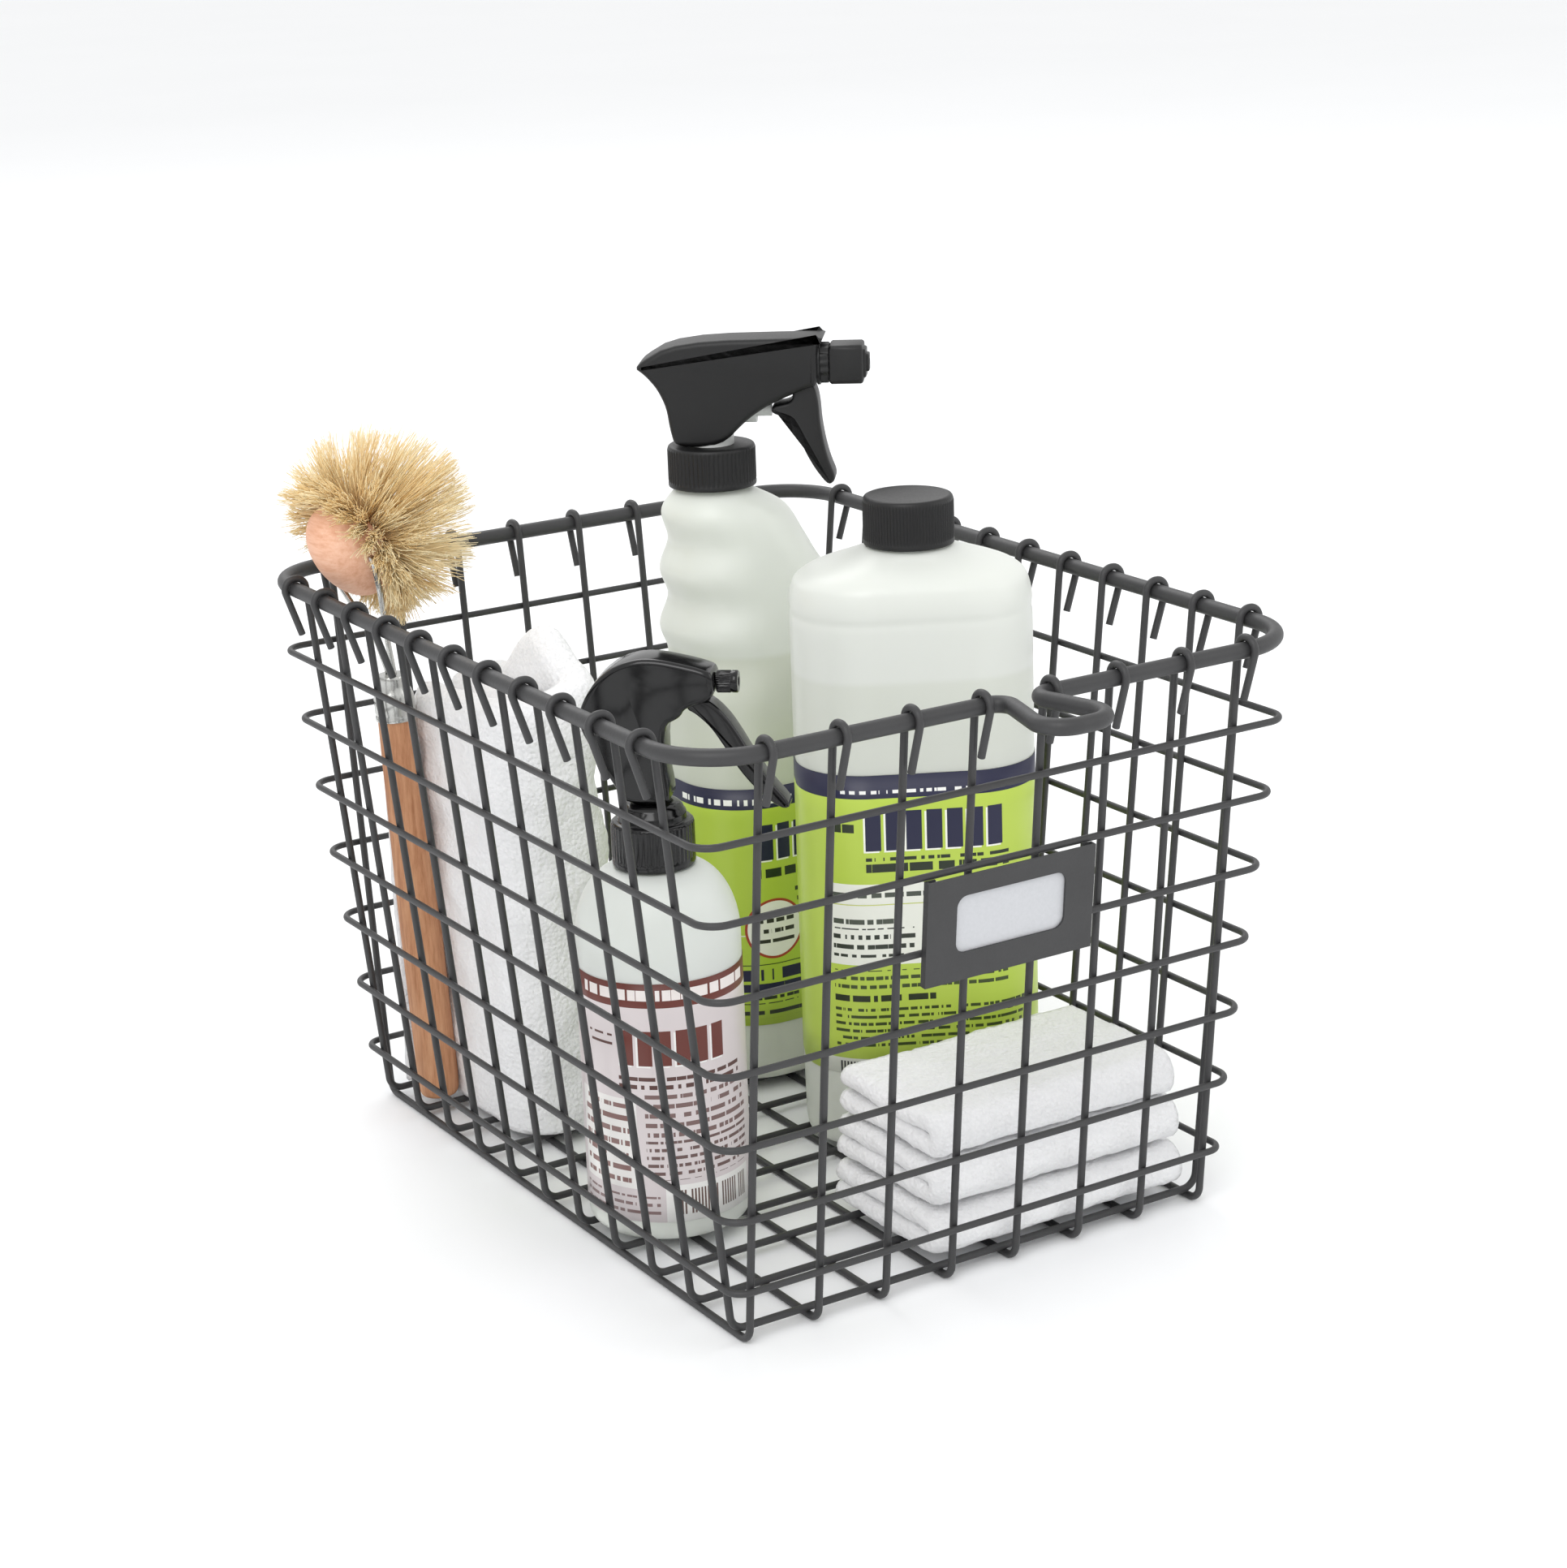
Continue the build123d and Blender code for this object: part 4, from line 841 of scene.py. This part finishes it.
def makeBristles(p):
    chance = random.Random(11)
    points, faces, uvs = [], [], []
    centre = Vector((0, 0, p["ballOut"]))
    tufts = [(0.0, 0.0)]
    for radius, count in p["rings"]:
        tufts += [(radius, 2 * math.pi * (k + 0.5 * (count % 4)) / count) for k in range(count)]
    for radius, angle in tufts:
        fan = p["fan"] * (radius / p["rings"][-1][0]) ** 1.5
        atEdge = radius > p["edgeFrom"]
        tone, longer = chance.uniform(0.25, 0.75), chance.uniform(0.9, 1.04)
        for _ in range(p["perTuft"]):
            tilt = math.radians(fan + chance.gauss(0, 6.5))
            swing = angle + math.radians(chance.gauss(0, 7.5 + 30.0 * math.exp(-radius / 3)))
            ray = Vector((math.sin(tilt) * math.cos(swing), math.sin(tilt) * math.sin(swing), math.cos(tilt)))
            spread, around = chance.uniform(0, 0.8 if atEdge else 1.5), chance.uniform(0, 2 * math.pi)
            root = Vector((radius * math.cos(angle) + spread * math.cos(around),
                           radius * math.sin(angle) + spread * math.sin(around), 6.1 if atEdge else 7.7))
            reach = p["ballRadius"] * longer * (1.0 + chance.triangular(-0.2, 0.012, -0.02))
            back = root - centre
            b = back.dot(ray)
            far = -b + math.sqrt(max(b * b - back.length_squared + reach * reach, 1.0))
            side = ray.orthogonal().normalized()
            other = ray.cross(side)
            bendA = chance.uniform(0, 2 * math.pi)
            bow = (side * math.cos(bendA) + other * math.sin(bendA)) * chance.uniform(0.2, 2.2)
            start = len(points)
            shade = min(max(tone + chance.gauss(0, 0.25), 0), 1)
            for k in range(5):
                t = k / 4
                middle = root + ray * far * t + bow * math.sin(math.pi * t * 0.9) - bow * 0.6 * t * t
                thick = p["strand"] * (1 - 0.45 * t)
                for c in range(3):
                    a = 2 * math.pi * c / 3
                    points.append(middle + (side * math.cos(a) + other * math.sin(a)) * thick)
                    uvs.append((shade, t))
            faces += gridFaces(5, 3, start=start)
            faces += [(start + 2, start + 1, start), (start + 12, start + 13, start + 14)]
    placed = through(headFrame, [tuple(q) for q in points])
    return makePiece("brush_bristles_tampico", placed, faces, fibreMaterial(), "brush_head", uvs=uvs)


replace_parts(makeBristles(brush), "brush_bristles")
print("brush made")

# pieces: towel and cloths, each a sheet of terry doubled over and folded along a path

def makeFoldedSheet(name, spine, open_, closedAt, gap, thick, rough, seed, toFrame, body, cells=1.9):
    # closedAt gives where the doubled sheet's fold lies at each point of the path
    along = np.gradient(spine, axis=0)
    along /= np.linalg.norm(along, axis=1)[:, None]
    normal = np.stack([-along[:, 1], along[:, 0]], -1)
    span = max(abs(closedAt(i, p) - open_) for i, p in enumerate(spine))
    side = int(span / cells)
    shift = Vector((seed * 17.3, seed * 5.1, seed * 3.7))
    points = []
    for i, p in enumerate(spine):
        end = closedAt(i, p)
        sign = 1 if end > open_ else -1
        stop = end - sign * gap
        row = [(-gap, open_ + (stop - open_) * k / side) for k in range(side)]
        row += [(-gap * math.cos(a), stop + sign * gap * math.sin(a)) for a in np.linspace(0, math.pi, 9)]
        row += [(gap, stop + (open_ - stop) * (k + 1) / side) for k in range(side)]
        for across, height in row:
            flat = p + normal[i] * across
            where = Vector((flat[0], flat[1], height))
            soft = noise.noise(where * 0.035 + shift) * rough[0] + noise.noise(where * 0.11 + shift) * rough[1]
            pile = noise.noise(where * 0.62 + shift) * rough[2]
            lift = noise.noise(where * 0.05 - shift) * rough[0] * 0.6
            flat = flat + normal[i] * (soft + pile) * (1 if across >= 0 else 0.8)
            rise = lift * min(1.0, abs(height - open_) / 20) + pile * 0.5
            points.append(toFrame(flat[0], flat[1], height + rise))
    columns = 2 * side + 9
    faces = gridFaces(len(spine), columns, closed=False)
    piece = makePiece(name, points, faces, whiteTerry, body)
    cloth = piece.modifiers.new("cloth", "SOLIDIFY")
    cloth.thickness, cloth.offset = thick * mm, 0
    return piece


towelLook = {"low": 5.6, "main": 170.0, "peak": 22.0, "flap": 156.0, "gap": 6.1, "thick": 2.4,
             "rough": (2.4, 0.9, 0.5)}
towelPath = [(-56.6, 68.0), (-56.6, 121.0), (-41.4, 121.0), (-41.4, 53.4), (-71.6, 53.4), (-71.6, 121.6),
             (-88.0, 121.6)]
towelSpine, towelRun = roundedPath(towelPath, [7.5, 7.5, 9.5, 9.5, 7.6], 1.9)


def towelTop(i, p):
    # the top's height along the fold: a soft peak at the back, a rise at the front, a lower flap
    main, flap = towelLook["main"], towelLook["flap"]
    peak = math.exp(-(((p[0] + 42.5) / 11.5) ** 4 + ((p[1] - 82) / 21.0) ** 2))
    front = 5.0 * math.exp(-((p[1] - 56) / 16.0) ** 2)
    fall = 1 / (1 + math.exp((p[0] + 76.5) * 0.9))
    return main - 4 + front + towelLook["peak"] * peak - (main - flap) * fall


towel = makeFoldedSheet("towel_folded_terry", towelSpine, towelLook["low"], towelTop, towelLook["gap"],
                        towelLook["thick"], towelLook["rough"], 1, lambda x, y, z: (x * mm, y * mm, z * mm), "towel")
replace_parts(towel, "towel")

clothLook = {"at": (36.4, -96.0), "low": 5.29, "thick": 17.0, "gap": 0.4, "long": 104.0, "deep": 69.0,
             "sheet": 2.2, "halfGap": 2.7, "rough": (1.0, 0.8, 0.6)}
for level in range(3):
    half, deep = clothLook["long"] / 2 - level, clothLook["deep"] / 2 - 0.75 * level
    foot = clothLook["low"] + level * (clothLook["thick"] + clothLook["gap"])
    path = [(deep - 5.4, 12.5), (4.8 - deep, 12.5), (4.8 - deep, 4.5), (deep - 4.8, 4.5)]
    spine, run = roundedPath(path, [3.9, 3.9], 1.7)
    cx, cy = clothLook["at"]
    piece = makeFoldedSheet(f"cloth_{level + 1}_folded_terry", spine, cx + half, lambda i, p: cx - half + 0.6,
                            clothLook["halfGap"], clothLook["sheet"], clothLook["rough"], 5 + level,
                            lambda a, b, c: (c * mm, (cy + a) * mm, (foot + b) * mm), f"cloth_{level + 1}", 1.9)
    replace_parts(piece, f"cloth_{level + 1}")
print("towel and cloths made")

# finish of the CAD nodes that stay

finishes = {"label_holder": powderCoatSheet, "label_card": cardMaterial(), "brush_wire_neck": steel,
            "tall_liquid": fluidMaterial("cleaner_cloudy_tall", "#dfe2c8", "#e6e8d4"),
            "refill_liquid": fluidMaterial("cleaner_cloudy_refill", "#dfe2c8", "#e6e8d4"),
            "small_liquid": fluidMaterial("freshener_clear", "#e4e6e0", "#edeeea")}
for name in ("tall_pump_body", "tall_piston", "tall_dip_tube", "small_dip_tube"):
    finishes[name] = naturalPlastic
for name, node in nodes.items():
    node.data.materials.clear()
    node.data.materials.append(finishes.get(name, powderCoatSteel))
print("CAD nodes finished")

# floor, light and camera

def makeFloor():
    # a pale flat studio floor with a very faint mottle
    paper, tree, shader = newMaterial("studio_paper_pale", Roughness=0.8)
    mottle = noiseAt(tree, framePoint(tree), 3.0, 2.0)
    colour = blendColours(tree, mottle, linear("#f6f7f8"), linear("#f9fafb"))
    tree.links.new(colour, shader.inputs["Base Color"])
    mesh = bpy.data.meshes.new("floor")
    reach = 14.0
    corners = [(-reach, -reach, 0), (reach, -reach, 0), (reach, reach, 0), (-reach, reach, 0)]
    mesh.from_pydata(corners, [], [(0, 1, 2, 3)])
    mesh.materials.append(paper)
    floor = bpy.data.objects.new("floor", mesh)
    bpy.context.scene.collection.objects.link(floor)


makeFloor()
world = bpy.data.worlds.new("studio")
bpy.context.scene.world = world
world.use_nodes = True
sky = world.node_tree.nodes["Background"].inputs
sky["Color"].default_value = linear("#ffffff")
sky["Strength"].default_value = 0.98
bpy.context.scene.view_settings.view_transform = "Standard"  # keeps the pale floor white
lamps = {"key": ((-1.5, -1.4, 2.2), 1.6, 26.0), "fill": ((1.9, -1.5, 1.3), 1.4, 6.0),
         "back": ((0.4, 1.9, 2.1), 1.6, 18.0)}  # place, size and watts of each
for name, (place, size, watts) in lamps.items():
    lamp = bpy.data.lights.new(name, "AREA")
    lamp.size, lamp.energy = size, watts
    holder = bpy.data.objects.new(name, lamp)
    holder.location = place
    holder.rotation_euler = (Vector((0, 0, 0.12)) - Vector(place)).to_track_quat("-Z", "Y").to_euler()
    bpy.context.scene.collection.objects.link(holder)

camera = {"azimuth": -31.575, "elevation": 17.246, "roll": -2.051, "at": (-0.5863, -0.9691, 0.4916),
          "lens": 75.99, "sensor": 36.0}
lensData = bpy.data.cameras.new("camera")
lensData.lens, lensData.sensor_width, lensData.sensor_fit = camera["lens"], camera["sensor"], "HORIZONTAL"
lensData.clip_start, lensData.clip_end = 0.05, 60.0
viewer = bpy.data.objects.new("camera", lensData)
bpy.context.scene.collection.objects.link(viewer)
az, el, roll = (math.radians(camera[k]) for k in ("azimuth", "elevation", "roll"))
back = Vector((math.sin(az) * math.cos(el), -math.cos(az) * math.cos(el), math.sin(el)))
level = (-back).cross(Vector((0, 0, 1))).normalized()
upright = level.cross(-back)
right = level * math.cos(roll) + upright * math.sin(roll)
up = upright * math.cos(roll) - level * math.sin(roll)
viewer.matrix_world = Matrix.Translation(Vector(camera["at"])) @ Matrix((right, up, back)).transposed().to_4x4()
bpy.context.scene.camera = viewer
print("floor, light and camera ready")
